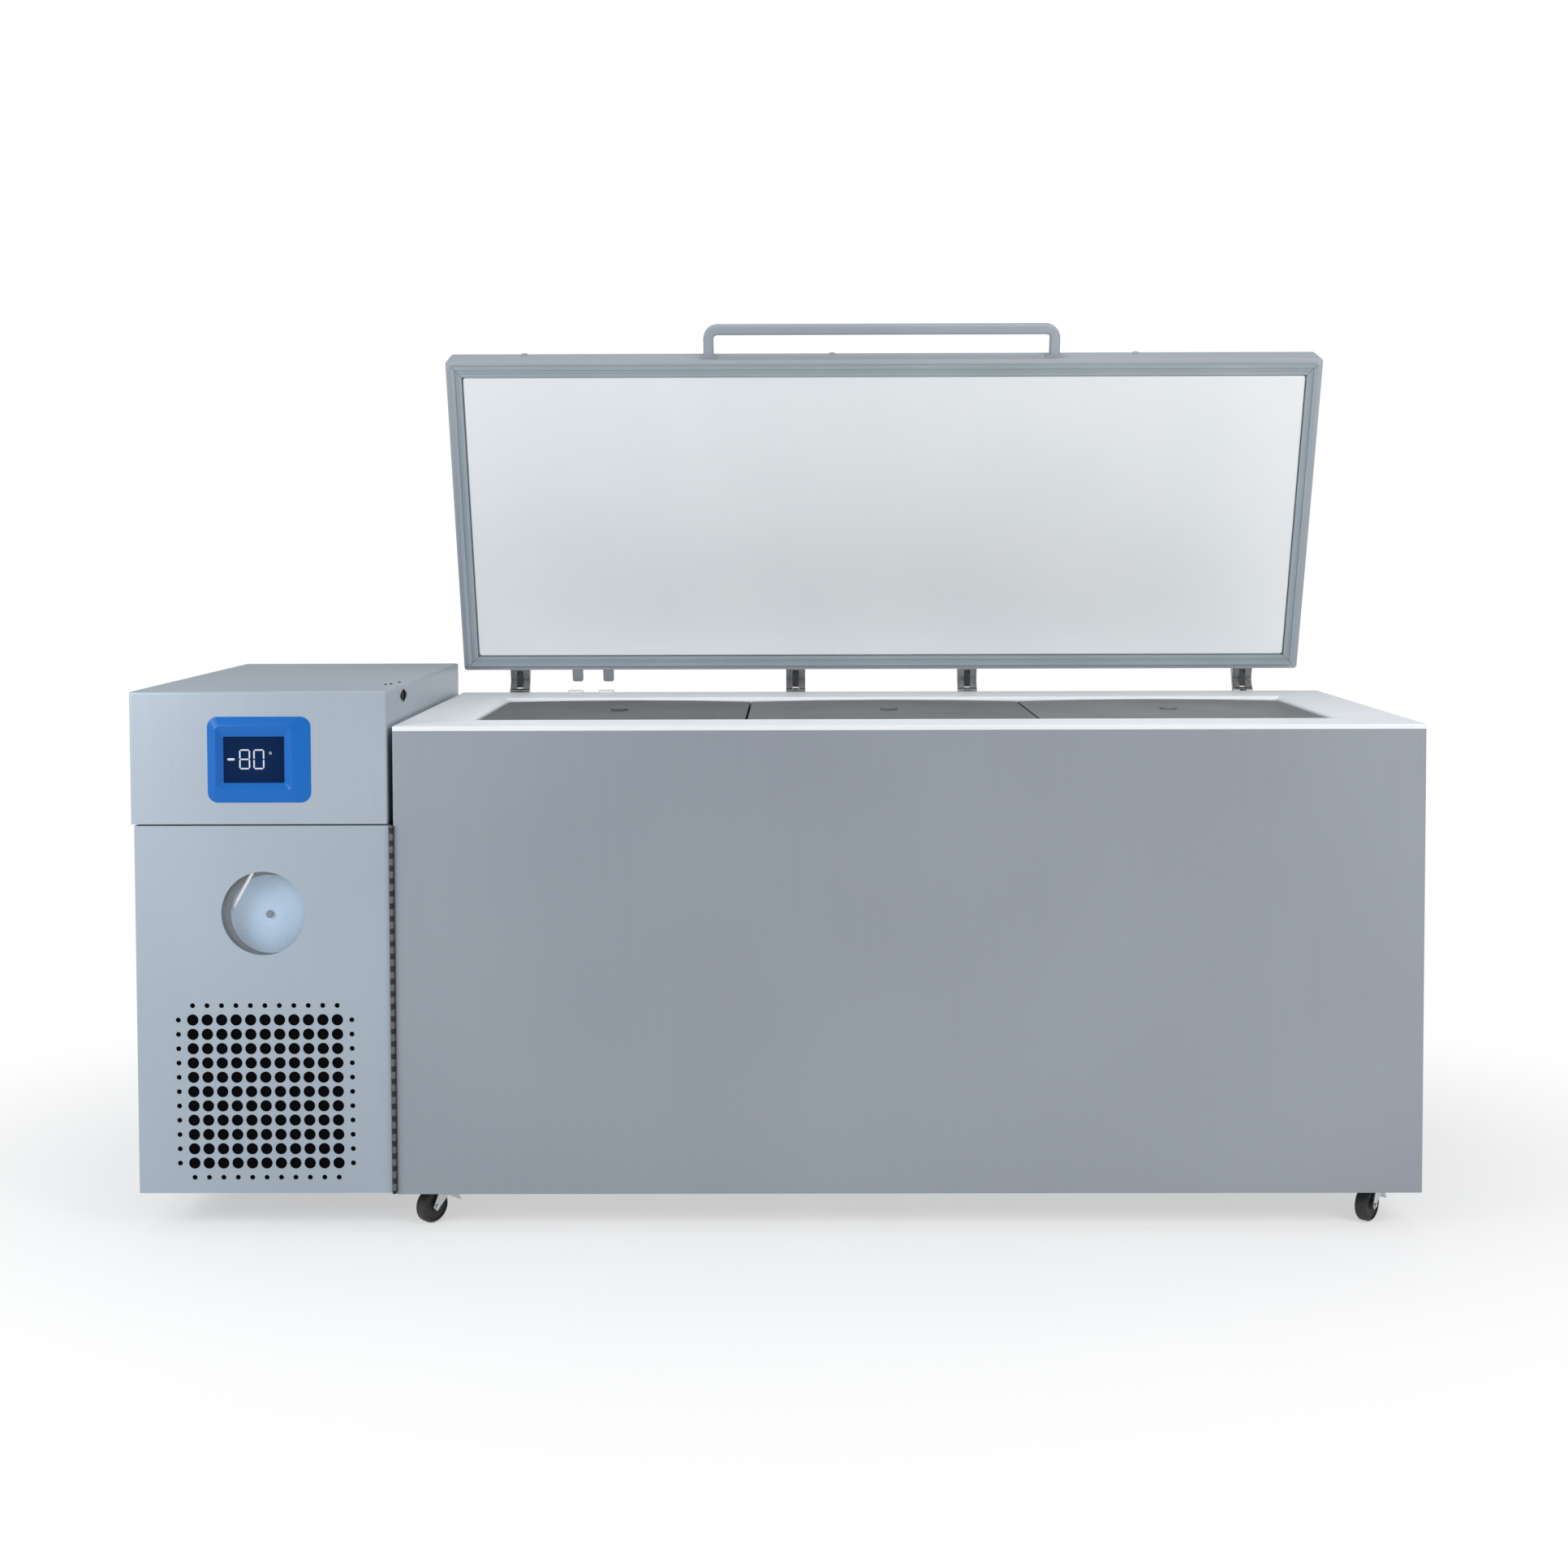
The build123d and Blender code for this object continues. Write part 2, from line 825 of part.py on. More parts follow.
def grille_holes():
    plane = Plane(origin=(grille_x, front - sheet, grille_level), x_dir=(1, 0, 0), z_dir=(0, 1, 0))
    large = GridLocations(grille_pitch, grille_pitch, grille_columns, grille_rows) * Circle(grille_hole)
    across = (grille_columns + 1) * grille_pitch
    high = (grille_rows + 1) * grille_pitch
    small = Circle(grille_small_hole)
    rows = GridLocations(grille_pitch, high, grille_columns, 2) * small
    columns = GridLocations(across, grille_pitch, 2, grille_rows) * small
    holes = Sketch() + [*large, *rows, *columns]
    return extrude(plane * holes, 3 * sheet)


def window_glass():
    y0 = front + window_lip
    return rod_y(window_x, y0, y0 + glass_thickness, window_level, glass_radius)


def recorder_housing():
    y0 = front + window_lip
    z1 = window_level + pen_pivot_rise + panel_flange
    body = block(
        window_x - recorder_width / 2, window_x + recorder_width / 2, y0, y0 + recorder_depth,
        z1 - recorder_height, z1,
    )
    recess = block(
        window_x - recess_half_width, window_x + recess_half_width, y0 + glass_thickness,
        y0 + recess_depth, z1 - panel_flange / 2 - recess_height, z1 - panel_flange / 2,
    )
    body = body - recess - rod_y(window_x, y0 - 1, y0 + glass_thickness, window_level, glass_radius)
    body -= rod_y(window_x, y0, y0 + recorder_depth + 1, chart_level, spindle_radius + spindle_fit)
    body -= rod_y(pen_x, y0 + recess_depth - 1, y0 + recorder_depth + 1, pen_level, pen_pivot_radius + spindle_fit)
    flange = block(
        window_x - recorder_width / 2, window_x + recorder_width / 2, front + sheet, y0,
        z1 - recorder_height, z1,
    )
    flange -= rod_y(window_x, front, y0, window_level, window_radius + sheet)
    return body + flange


chart_level = window_level - chart_drop
chart_y = front + window_lip + recess_depth
pen_x = window_x - pen_pivot_left
pen_level = window_level + pen_pivot_rise - pen_width


def chart_disc():
    gap = 0.6
    disc = rod_y(window_x, chart_y - gap - chart_thickness, chart_y - gap, chart_level, chart_radius)
    return disc - rod_y(window_x, chart_y - 5, chart_y, chart_level, hub_radius / 2)


def chart_hub():
    gap = 0.6
    face = chart_y - gap - chart_thickness
    knob = rod_y(window_x, face - hub_height, face, chart_level, hub_radius)
    knob = chamfer(knob.edges().group_by(Axis.Y)[0], 1.5)
    core = rod_y(window_x, face, chart_y - gap, chart_level, hub_radius / 2)
    spindle = rod_y(window_x, face, front + window_lip + recorder_depth, chart_level, spindle_radius)
    return knob + core + spindle


def pen_arm():
    y1 = chart_y - 6
    arm = block(-pen_width / 2, pen_width / 2, y1 - pen_thickness, y1, -pen_length, pen_width)
    boss = rod_y(0, y1 - pen_thickness, chart_y - 0.3, 0, pen_width / 2 + 1)
    pivot = rod_y(0, chart_y - 0.3, chart_y + 10, 0, pen_pivot_radius)
    tip = rod_y(0, y1, chart_y - 2.2, -pen_length + 4, 1.5)
    return Pos(pen_x, 0, pen_level) * Rot(Y=pen_lean) * (arm + boss + pivot + tip)


def filter_frame():
    half_x = (grille_columns + 1) * grille_pitch / 2 + filter_margin
    half_z = (grille_rows + 1) * grille_pitch / 2 + filter_margin - 8
    outer = block(
        grille_x - half_x, grille_x + half_x, front + sheet, front + sheet + filter_depth,
        grille_level - half_z, grille_level + half_z,
    )
    return outer - block(
        grille_x - half_x + filter_frame_bar, grille_x + half_x - filter_frame_bar,
        front, front + sheet + filter_depth + 1,
        grille_level - half_z + filter_frame_bar, grille_level + half_z - filter_frame_bar,
    )


def air_filter():
    half_x = (grille_columns + 1) * grille_pitch / 2 + filter_margin - filter_frame_bar
    half_z = (grille_rows + 1) * grille_pitch / 2 + filter_margin - 8 - filter_frame_bar
    return block(
        grille_x - half_x, grille_x + half_x, front + sheet + 2, front + sheet + filter_depth - 2,
        grille_level - half_z, grille_level + half_z,
    )


def knuckles(first):
    length = (door_top - door_bottom) / knuckle_count
    rods = []
    for index in range(first, knuckle_count, 2):
        z0 = door_bottom + index * length + knuckle_gap / 2
        rods.append(rod_z(pin_x, pin_y, z0, z0 + length - knuckle_gap, knuckle_radius))
    return rods


def knuckle_webs(first, x0, x1):
    length = (door_top - door_bottom) / knuckle_count
    webs = []
    for index in range(first, knuckle_count, 2):
        z0 = door_bottom + index * length + knuckle_gap / 2
        webs.append(block(x0, x1, pin_y, front + sheet, z0, z0 + length - knuckle_gap))
    return webs


def door_hinge_leaf():
    x1 = door_right + leaf_thickness
    leaf = block(door_right, x1, front + sheet, front + leaf_depth, door_bottom, door_top)
    for web, rod in zip(knuckle_webs(0, door_right, x1), knuckles(0)):
        leaf = leaf + web + rod
    return leaf - rod_z(pin_x, pin_y, door_bottom - 1, door_top + 1, door_pin + door_pin_fit)


def piano_hinge_leaf():
    x0 = chest_left - leaf_thickness
    leaf = block(x0, chest_left, front + sheet, front + leaf_depth, door_bottom, door_top)
    for web, rod in zip(knuckle_webs(1, x0, chest_left), knuckles(1)):
        leaf = leaf + web + rod
    return leaf + rod_z(pin_x, pin_y, door_bottom, door_top, door_pin)


# Refrigeration machinery

compressor_places = (
    (lower_left + 135.0, front + 370.0),
    (lower_left + 345.0, front + 600.0),
)


foot_level = case_bottom + sheet + grommet_height
wall_bottom = foot_level + compressor_bowl
wall_top = wall_bottom + compressor_wall
head_level = wall_top + compressor_dome


def compressor(place):
    x, y = place
    body = rod_z(0, 0, foot_level, head_level, compressor_radius)
    body = fillet(body.edges().group_by(Axis.Z)[-1], compressor_dome)
    body = fillet(body.edges().group_by(Axis.Z)[0], compressor_bowl)
    middle = (wall_bottom + wall_top) / 2
    body += rod_z(
        0, 0, middle - compressor_band / 2, middle + compressor_band / 2, compressor_radius + compressor_band
    )
    half = compressor_feet_span / 2
    depth = half * 0.7
    body += block(-half, half, -depth, depth, foot_level, foot_level + compressor_plate)
    body += block(
        -28, 28, -compressor_radius - 34, -compressor_radius * 0.8, middle - 62, middle - compressor_band
    )
    bosses = [
        rod_z(
            sx * (half - compressor_foot), sy * (depth - compressor_foot),
            case_bottom + sheet, foot_level, compressor_foot,
        )
        for sx in (-1, 1) for sy in (-1, 1)
    ]
    return [Pos(x, y, 0) * piece for piece in (body, *bosses)]


condenser_x = (lower_left + lower_right) / 2
condenser_front = front + condenser_setback
condenser_back = condenser_front + condenser_depth
condenser_bottom = case_bottom + sheet + condenser_lift
condenser_top = condenser_bottom + condenser_height
fan_level = condenser_bottom + condenser_height / 2


def condenser():
    x0 = condenser_x - condenser_width / 2
    x1 = condenser_x + condenser_width / 2
    core = block(x0, x1, condenser_front, condenser_back, condenser_bottom, condenser_bottom + condenser_height)
    pitch = condenser_width / fin_count
    for index in range(fin_count):
        x = x0 + (index + 0.5) * pitch
        core -= block(
            x - fin_groove / 2, x + fin_groove / 2, condenser_front - 1, condenser_front + fin_groove_depth,
            condenser_bottom + 10, condenser_bottom + condenser_height - 10,
        )
    feet = block(x0, x1, condenser_front, condenser_front + 3, case_bottom + sheet, condenser_bottom)
    feet += block(x0, x1, condenser_back - 3, condenser_back, case_bottom + sheet, condenser_bottom)
    core += feet
    step = condenser_height / (2 * bend_count)
    y = (condenser_front + condenser_back) / 2
    for index in range(bend_count):
        low = condenser_bottom + (2 * index + 0.5) * step
        arc = ThreePointArc(
            (x1, y, low), (x1 + step / 2, y, low + step / 2), (x1, y, low + step)
        )
        section = Plane(origin=(x1, y, low), x_dir=(0, 1, 0), z_dir=(1, 0, 0)) * RegularPolygon(bend_tube_radius, 6)
        core += sweep(section, path=arc)
    return core


def fan_shroud():
    x0 = condenser_x - condenser_width / 2
    x1 = condenser_x + condenser_width / 2
    z0 = case_bottom + sheet
    z1 = condenser_bottom + condenser_height
    box = block(x0, x1, condenser_back, condenser_back + shroud_depth, z0, z1)
    box -= block(
        x0 + shroud_sheet, x1 - shroud_sheet, condenser_back - 1, condenser_back + shroud_depth - shroud_sheet,
        z0 + shroud_sheet, z1 - shroud_sheet,
    )
    ring_end = condenser_back + shroud_depth + fan_hub_depth
    ring = rod_y(condenser_x, condenser_back + shroud_depth - shroud_sheet, ring_end, fan_level, fan_radius + fan_ring_gap + shroud_sheet)
    bore = rod_y(condenser_x, condenser_back, ring_end + 1, fan_level, fan_radius + fan_ring_gap)
    return box + ring - bore


fan_y = condenser_back + shroud_depth


def fan_motor():
    y0 = fan_y + fan_hub_depth + 6
    y1 = y0 + motor_length
    body = rod_y(condenser_x, y0, y1, fan_level, motor_radius)
    shaft = rod_y(condenser_x, fan_y + 4, y0, fan_level, motor_shaft)
    reach = fan_radius + fan_ring_gap + shroud_sheet
    for angle in (90, 210, 330):
        strut = block(0, reach, y0, y0 + 3, -motor_strut / 2, motor_strut / 2)
        foot = block(
            reach - shroud_sheet, reach + 6, fan_y + fan_hub_depth, y0 + 3, -motor_strut / 2, motor_strut / 2
        )
        body += Pos(condenser_x, 0, fan_level) * Rot(Y=-angle) * (strut + foot)
    return body + shaft


def fan_rotor():
    hub = rod_y(0, 0, fan_hub_depth, 0, fan_hub_radius)
    rotor = hub
    length = fan_radius - fan_hub_radius + 6
    for index in range(fan_blades):
        blade = Box(length, fan_blade_thickness, fan_blade_sweep)
        blade = Pos(fan_hub_radius - 6 + length / 2, fan_hub_depth / 2, 0) * Rot(X=fan_blade_pitch) * blade
        rotor += Rot(Y=index * 360 / fan_blades) * blade
    keep = rod_y(0, -fan_hub_depth, 2 * fan_hub_depth, 0, fan_radius)
    rotor = rotor & keep
    rotor -= rod_y(0, -1, fan_hub_depth + 1, 0, motor_shaft + motor_shaft_fit)
    return Pos(condenser_x, fan_y, fan_level) * rotor


def pipe(*points):
    path = FilletPolyline(*points, radius=pipe_bend)
    start = path @ 0
    section = Plane(origin=start, z_dir=path % 0) * Circle(pipe_radius)
    return sweep(section, path=path)


drier_x = lower_left + 60
drier_y = front + 600


def refrigerant_pipes():
    (ax, ay), (bx, by) = compressor_places
    rise = head_level + 90
    entry = chest_left - sheet
    top = drier_level + drier_length
    discharge = pipe((ax, ay, head_level), (ax, ay, rise), (ax, by, rise), (bx, by, rise), (bx, by, head_level))
    suction = pipe(
        (drier_x, drier_y, top), (drier_x, drier_y, rise + 70), (entry, drier_y, rise + 70)
    )
    hot_x = ax - 26
    hot_y = condenser_back - 20
    hot = pipe(
        (hot_x, ay, head_level), (hot_x, ay, condenser_top + 40), (hot_x, hot_y, condenser_top + 40),
        (hot_x, hot_y, condenser_top),
    )
    return [discharge, suction, hot]


def filter_drier():
    body = rod_z(drier_x, drier_y, drier_level, drier_level + drier_length, drier_radius)
    body = chamfer(body.edges().filter_by(GeomType.CIRCLE), drier_radius / 2)
    strap = block(
        lower_left + sheet, drier_x, drier_y - drier_radius / 2, drier_y + drier_radius / 2,
        drier_level + drier_length / 2 - 15, drier_level + drier_length / 2 + 15,
    )
    return body + strap


def power_inlet():
    left = inlet_x - inlet_width / 2
    right = rocker_x + rocker_width / 2 + rocker_frame
    half = inlet_height / 2
    body = block(left, right, back - inlet_depth, back + 3, inlet_level - half, inlet_level + half)
    body += block(left - 5, right + 5, back, back + 3, inlet_level - half - 4, inlet_level + half + 4)
    body -= block(
        left + 7, left + inlet_width - 7, back - inlet_depth + 6, back + 4,
        inlet_level - half + 6, inlet_level + half - 6,
    )
    body -= block(
        rocker_x - rocker_width / 2 - rocker_gap, rocker_x + rocker_width / 2 + rocker_gap,
        back - inlet_depth + 6, back + 4,
        inlet_level - rocker_height / 2 - rocker_gap, inlet_level + rocker_height / 2 + rocker_gap,
    )
    return body - rocker_pivot(rocker_pin + rocker_pin_fit, rocker_pin_reach + 1)


def rocker_pivot(radius, reach):
    half = rocker_width / 2 + reach
    return rod_x(rocker_x - half, rocker_x + half, back - 4, inlet_level, radius)


def power_switch():
    outline = Plane.YZ * Polygon(
        (3, -rocker_height / 2 + 1), (5, 0), (3, rocker_height / 2 - 1), (-rocker_depth, 5), (-rocker_depth, -5),
        align=None,
    )
    body = Pos(-rocker_width / 2, 0, 0) * extrude(outline, rocker_width, dir=(1, 0, 0))
    body = Pos(rocker_x, back, inlet_level) * Pos(0, -4, 0) * Rot(X=rocker_tilt) * Pos(0, 4, 0) * body
    return body + rocker_pivot(rocker_pin, rocker_pin_reach)


# Casters

caster_places = (
    (chest_left + caster_inset_x, front + caster_inset_y),
    (chest_right - caster_inset_x, front + caster_inset_y),
    (chest_left + caster_inset_x, back - caster_inset_y),
    (chest_right - caster_inset_x, back - caster_inset_y),
)


def caster_plates():
    plates = []
    race_bottom = fork_top + raceway_gap
    for x, y in caster_places:
        half = caster_plate_size / 2
        plate = block(
            x - half, x + half, y - half, y + half, caster_height - caster_plate_thickness, caster_height
        )
        plate += rod_z(x, y, race_bottom, caster_height - caster_plate_thickness, raceway_radius)
        plate += rod_z(x, y, fork_top - raceway_height, race_bottom, king_pin)
        plates.append(plate)
    return plates


def caster_fork(index):
    x, y = caster_places[index]
    inside = wheel_width / 2 + fork_side_gap
    outside = inside + fork_plate
    top = rod_z(0, 0, fork_top - raceway_height + 3, fork_top, raceway_radius)
    fork = top
    for side in (-1, 1):
        y0 = min(side * inside, side * outside)
        cheek = Plane.XZ * Polygon(
            (-raceway_radius * 0.7, fork_top - 2), (raceway_radius * 0.7, fork_top - 2),
            (caster_trail + 9, wheel_radius), (caster_trail, wheel_radius - 9), (caster_trail - 9, wheel_radius),
            (-brake_pin_back + 3, fork_top - 18), (-raceway_radius * 0.7, fork_top - 16),
            align=None,
        )
        fork += Pos(0, y0, 0) * extrude(cheek, fork_plate, dir=(0, 1, 0))
    fork -= rod_z(0, 0, 0, fork_top + 1, king_pin + king_pin_fit)
    if index < braked_casters:
        fork -= brake_axle(outside + 1, brake_pin + brake_pin_fit)
    fork += rod_y(caster_trail, -outside - 3, outside + 3, wheel_radius, hub_bore)
    return swivelled(fork, x, y, caster_angles[index])


def caster_wheel(index):
    x, y = caster_places[index]
    rim = wheel_radius - tyre_thickness
    half = wheel_width / 2
    tyre = Polyline(
        (rim, -half), (wheel_radius - 4, -half), (wheel_radius, -half + 5), (wheel_radius, half - 5),
        (wheel_radius - 4, half), (rim, half), (rim, -half),
    )
    hub = Polyline(
        (hub_bore + axle_fit, -half), (hub_bore + 5, -half), (hub_bore + 5, -half + 4), (rim, -half + 2),
        (rim, half - 2), (hub_bore + 5, half - 4), (hub_bore + 5, half), (hub_bore + axle_fit, half),
        (hub_bore + axle_fit, -half),
    )
    solids = []
    for outline in (tyre, hub):
        ring = revolve(make_face(outline), Axis.Y)
        solids.append(swivelled(Pos(caster_trail, 0, wheel_radius) * ring, x, y, caster_angles[index]))
    return solids


def brake_axle(half, radius):
    return rod_y(-brake_pin_back, -half, half, fork_top - brake_pin_drop, radius)


def caster_brake(index):
    x, y = caster_places[index]
    inside = wheel_width / 2 + fork_side_gap
    half = inside - brake_side_gap
    pin_z = fork_top - brake_pin_drop
    pedal = Plane.XZ * Polygon(
        (3.5, 2), (-3, 3), (-brake_reach, -27), (-brake_reach + 3, -29.5), (-6, -10), (0, -15), (3, -14), (4, -6),
        align=None,
    )
    pedal = Pos(-brake_pin_back, -half, pin_z) * extrude(pedal, 2 * half, dir=(0, 1, 0))
    pedal += brake_axle(inside + fork_plate, brake_pin)
    return swivelled(pedal, x, y, caster_angles[index])


tube = evaporator_tube()
save("chest_case", chest_case())
save("chest_back_panel", chest_back_panel())
save("chest_base_pan", chest_base_pan())
save("liner_tank", liner_tank())
save("collar", collar())
save("evaporator_tube", tube)
save("chest_insulation", chest_insulation(tube))
save("access_port", access_port())
save("lid_sensors", *lid_sensors())
save("hinge_chest_leaves", *hinge_chest_leaves())
save("hinge_lid_leaves", *hinge_lid_leaves())
save("lid_shell", lid_shell())
save("lid_foam", lid_foam())
save("lid_inner_panel", lid_inner_panel())
save("lid_gasket", lid_gasket())
save("lid_handle", lid_handle())
save("lid_plugs", *lid_plugs())
save("lid_magnets", *lid_magnets())
for index, name in enumerate(("left", "middle", "right")):
    save(f"inner_lid_{name}", inner_lid(index))

save("cabinet_base_pan", cabinet_base_pan())
save("cabinet_side_panel", cabinet_side_panel())
save("cabinet_back_panel", cabinet_back_panel())
save("hood_shell", hood_shell())
save("display_bezel", display_bezel())
save("touch_screen", touch_screen())
save("control_box", control_box())
save("key_lock", key_lock())
save("service_door", service_door())
save("window_glass", window_glass())
save("recorder_housing", recorder_housing())
save("chart_disc", chart_disc())
save("chart_hub", chart_hub())
save("pen_arm", pen_arm())
save("filter_frame", filter_frame())
save("air_filter", air_filter())
save("door_hinge_leaf", door_hinge_leaf())
save("piano_hinge_leaf", piano_hinge_leaf())
save("compressor_first_stage", *compressor(compressor_places[0]))
save("compressor_second_stage", *compressor(compressor_places[1]))
save("condenser", condenser())
save("fan_shroud", fan_shroud())
save("fan_motor", fan_motor())
save("fan_rotor", fan_rotor())
save("refrigerant_pipes", *refrigerant_pipes())
save("filter_drier", filter_drier())
save("power_inlet", power_inlet())
save("power_switch", power_switch())

save("caster_plates", *caster_plates())
for index, name in enumerate(("front_left", "front_right", "rear_left", "rear_right")):
    save(f"caster_fork_{name}", caster_fork(index))
    save(f"caster_wheel_{name}", *caster_wheel(index))
for index, name in enumerate(("front_left", "front_right")):
    save(f"caster_brake_{name}", caster_brake(index))
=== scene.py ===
import json
from math import cos, radians, sin, tau

import bmesh
import bpy
from mathutils import Matrix, Vector

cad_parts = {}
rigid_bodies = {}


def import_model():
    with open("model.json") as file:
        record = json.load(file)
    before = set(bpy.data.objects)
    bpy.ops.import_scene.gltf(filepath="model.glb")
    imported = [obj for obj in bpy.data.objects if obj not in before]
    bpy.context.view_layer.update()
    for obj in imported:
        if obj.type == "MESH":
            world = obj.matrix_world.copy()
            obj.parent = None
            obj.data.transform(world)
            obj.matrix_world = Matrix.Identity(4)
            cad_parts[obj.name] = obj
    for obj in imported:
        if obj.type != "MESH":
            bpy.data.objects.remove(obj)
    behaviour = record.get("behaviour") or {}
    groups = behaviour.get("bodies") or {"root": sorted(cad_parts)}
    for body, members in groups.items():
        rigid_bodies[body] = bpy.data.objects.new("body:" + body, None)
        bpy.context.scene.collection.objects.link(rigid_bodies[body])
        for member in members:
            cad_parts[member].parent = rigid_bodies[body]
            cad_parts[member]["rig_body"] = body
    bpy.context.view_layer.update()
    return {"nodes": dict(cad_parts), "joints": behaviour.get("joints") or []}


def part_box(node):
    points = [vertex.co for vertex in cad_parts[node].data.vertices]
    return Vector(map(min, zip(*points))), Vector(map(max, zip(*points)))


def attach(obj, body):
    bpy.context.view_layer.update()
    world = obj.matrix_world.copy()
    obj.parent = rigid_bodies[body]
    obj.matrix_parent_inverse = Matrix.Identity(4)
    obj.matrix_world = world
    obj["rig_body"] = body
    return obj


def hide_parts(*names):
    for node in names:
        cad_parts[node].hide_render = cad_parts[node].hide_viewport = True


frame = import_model()
nodes = frame["nodes"]


# Shader values

class Value:
    """One output socket, with the sums that the finishes need."""

    def __init__(self, finish, socket):
        self.finish = finish
        self.socket = socket

    def math(self, operation, *others):
        inputs = {0: self}
        for place, other in enumerate(others, 1):
            inputs[place] = other
        return self.finish.add("Math", {"operation": operation}, inputs)

    def __add__(self, other):
        return self.math("ADD", other)

    def __sub__(self, other):
        return self.math("SUBTRACT", other)

    def __mul__(self, other):
        return self.math("MULTIPLY", other)

    def __rsub__(self, other):
        return self.finish.add(
            "Math", {"operation": "SUBTRACT"}, {0: other, 1: self}
        )

    __radd__ = __add__
    __rmul__ = __mul__

    def above(self, edge, soft=0.0005):
        return self.finish.add(
            "MapRange",
            {"interpolation_type": "SMOOTHSTEP"},
            {"Value": self, "From Min": edge - soft, "From Max": edge + soft},
        )

    def below(self, edge, soft=0.0005):
        return 1 - self.above(edge, soft)

    def size(self):
        return self.math("ABSOLUTE")

    def wave(self):
        return self.math("SINE")

    def both(self, other):
        return self.math("MULTIPLY", other)

    def either(self, other):
        return self.math("MAXIMUM", other)


class Finish:
    """A material on Object coordinates, which are the object's own metres."""

    def __init__(self, name, shift=(0, 0, 0), turn=(0, 0, 0)):
        self.material = bpy.data.materials.new(name)
        self.material.use_nodes = True
        self.tree = self.material.node_tree
        self.shader = self.tree.nodes["Principled BSDF"]
        self.place = self.add("TexCoord", output="Object")
        self.local = self.add(
            "Mapping", {"vector_type": "TEXTURE"},
            {"Vector": self.place, "Location": shift, "Rotation": turn},
        )
        parts = self.add("SeparateXYZ", None, {"Vector": self.local}, output=None)
        self.x, self.y, self.z = (Value(self, parts.outputs[axis]) for axis in "XYZ")

    def add(self, kind, settings=None, inputs=None, output=0):
        node = self.tree.nodes.new("ShaderNode" + kind)
        for key, value in (settings or {}).items():
            if key == "stops":
                self.set_stops(node, value)
            else:
                setattr(node, key, value)
        for key, value in (inputs or {}).items():
            self.feed(node.inputs[key], value)
        return node if output is None else Value(self, node.outputs[output])

    def set_stops(self, node, stops):
        ramp = node.color_ramp.elements
        while len(ramp) < len(stops):
            ramp.new(0.5)
        for element, (position, colour) in zip(ramp, stops):
            element.position = position
            element.color = (*colour, 1)

    def feed(self, socket, value):
        if isinstance(value, Value):
            self.tree.links.new(value.socket, socket)
        elif socket.type == "RGBA":
            socket.default_value = (*value, 1) if len(value) == 3 else value
        else:
            socket.default_value = value

    def set(self, **sockets):
        for name, value in sockets.items():
            self.feed(self.shader.inputs[name.replace("_", " ")], value)
        return self

    def noise(self, scale, detail=3.0, stretch=(1, 1, 1), roughness=0.5):
        place = self.add("Mapping", None, {"Vector": self.local, "Scale": stretch})
        return self.add(
            "TexNoise",
            None,
            {"Vector": place, "Scale": scale, "Detail": detail, "Roughness": roughness},
        )

    def mix(self, factor, first, second):
        first_colour, second_colour, mixed_colour = 6, 7, 2
        return self.add(
            "Mix",
            {"data_type": "RGBA"},
            {"Factor": factor, first_colour: first, second_colour: second},
            output=mixed_colour,
        )

    def ramp(self, value, low, high, first, second):
        return self.mix(self.spread(value, low, high, 0.0, 1.0), first, second)

    def spread(self, value, low, high, start, end):
        return self.add(
            "MapRange",
            None,
            {
                "Value": value, "From Min": low, "From Max": high,
                "To Min": start, "To Max": end,
            },
        )

    def bump(self, height, distance, strength=1.0):
        normal = self.add(
            "Bump", None, {"Height": height, "Distance": distance, "Strength": strength}
        )
        return self.set(Normal=normal)


def silver_paint(name, base=(0.253, 0.28, 0.322), light=(0.3, 0.331, 0.374)):
    """Brushed-looking silver paint: soft clouds, upright grain and fine flake."""
    upright = (1, 1, 0.012)
    finish = Finish(name)
    cloud = finish.noise(1.4, 2.0)
    grain = finish.noise(260, 2.0, upright)
    flake = finish.noise(1500, 1.0)
    tone = cloud * 0.72 + grain * 0.16 + flake * 0.12
    finish.set(
        Base_Color=finish.ramp(tone, 0.3, 0.72, base, light),
        Roughness=finish.spread(grain + flake, 0.7, 1.3, 0.36, 0.46),
        Metallic=0.25,
        Coat_Weight=0.1,
        Coat_Roughness=0.35,
    )
    return finish.bump(grain * 0.6 + flake * 0.4, 0.00003, 0.3)


def moulded(name, base, light, rough=(0.42, 0.55), grain=900, depth=0.00005, coat=0.0):
    """Moulded plastic or enamel with a fine pebbled skin."""
    finish = Finish(name)
    cloud = finish.noise(3.0, 3.0)
    speck = finish.noise(grain, 2.0)
    finish.set(
        Base_Color=finish.ramp(cloud * 0.7 + speck * 0.3, 0.35, 0.65, base, light),
        Roughness=finish.spread(speck, 0.3, 0.7, *rough),
        Coat_Weight=coat,
        Coat_Roughness=0.2,
    )
    return finish.bump(speck, depth, 0.4)


def plated(name, base, light, rough=(0.22, 0.4), metallic=0.95, stretch=(1, 1, 0.06)):
    """Bare or plated metal with brush marks along one way."""
    finish = Finish(name)
    cloud = finish.noise(9.0, 3.0)
    brush = finish.noise(700, 2.0, stretch)
    finish.set(
        Base_Color=finish.ramp(cloud * 0.5 + brush * 0.5, 0.35, 0.65, base, light),
        Roughness=finish.spread(brush + cloud * 0.5, 0.5, 1.0, *rough),
        Metallic=metallic,
    )
    return finish.bump(brush, 0.00003, 0.4)


# Places on the object, in metres

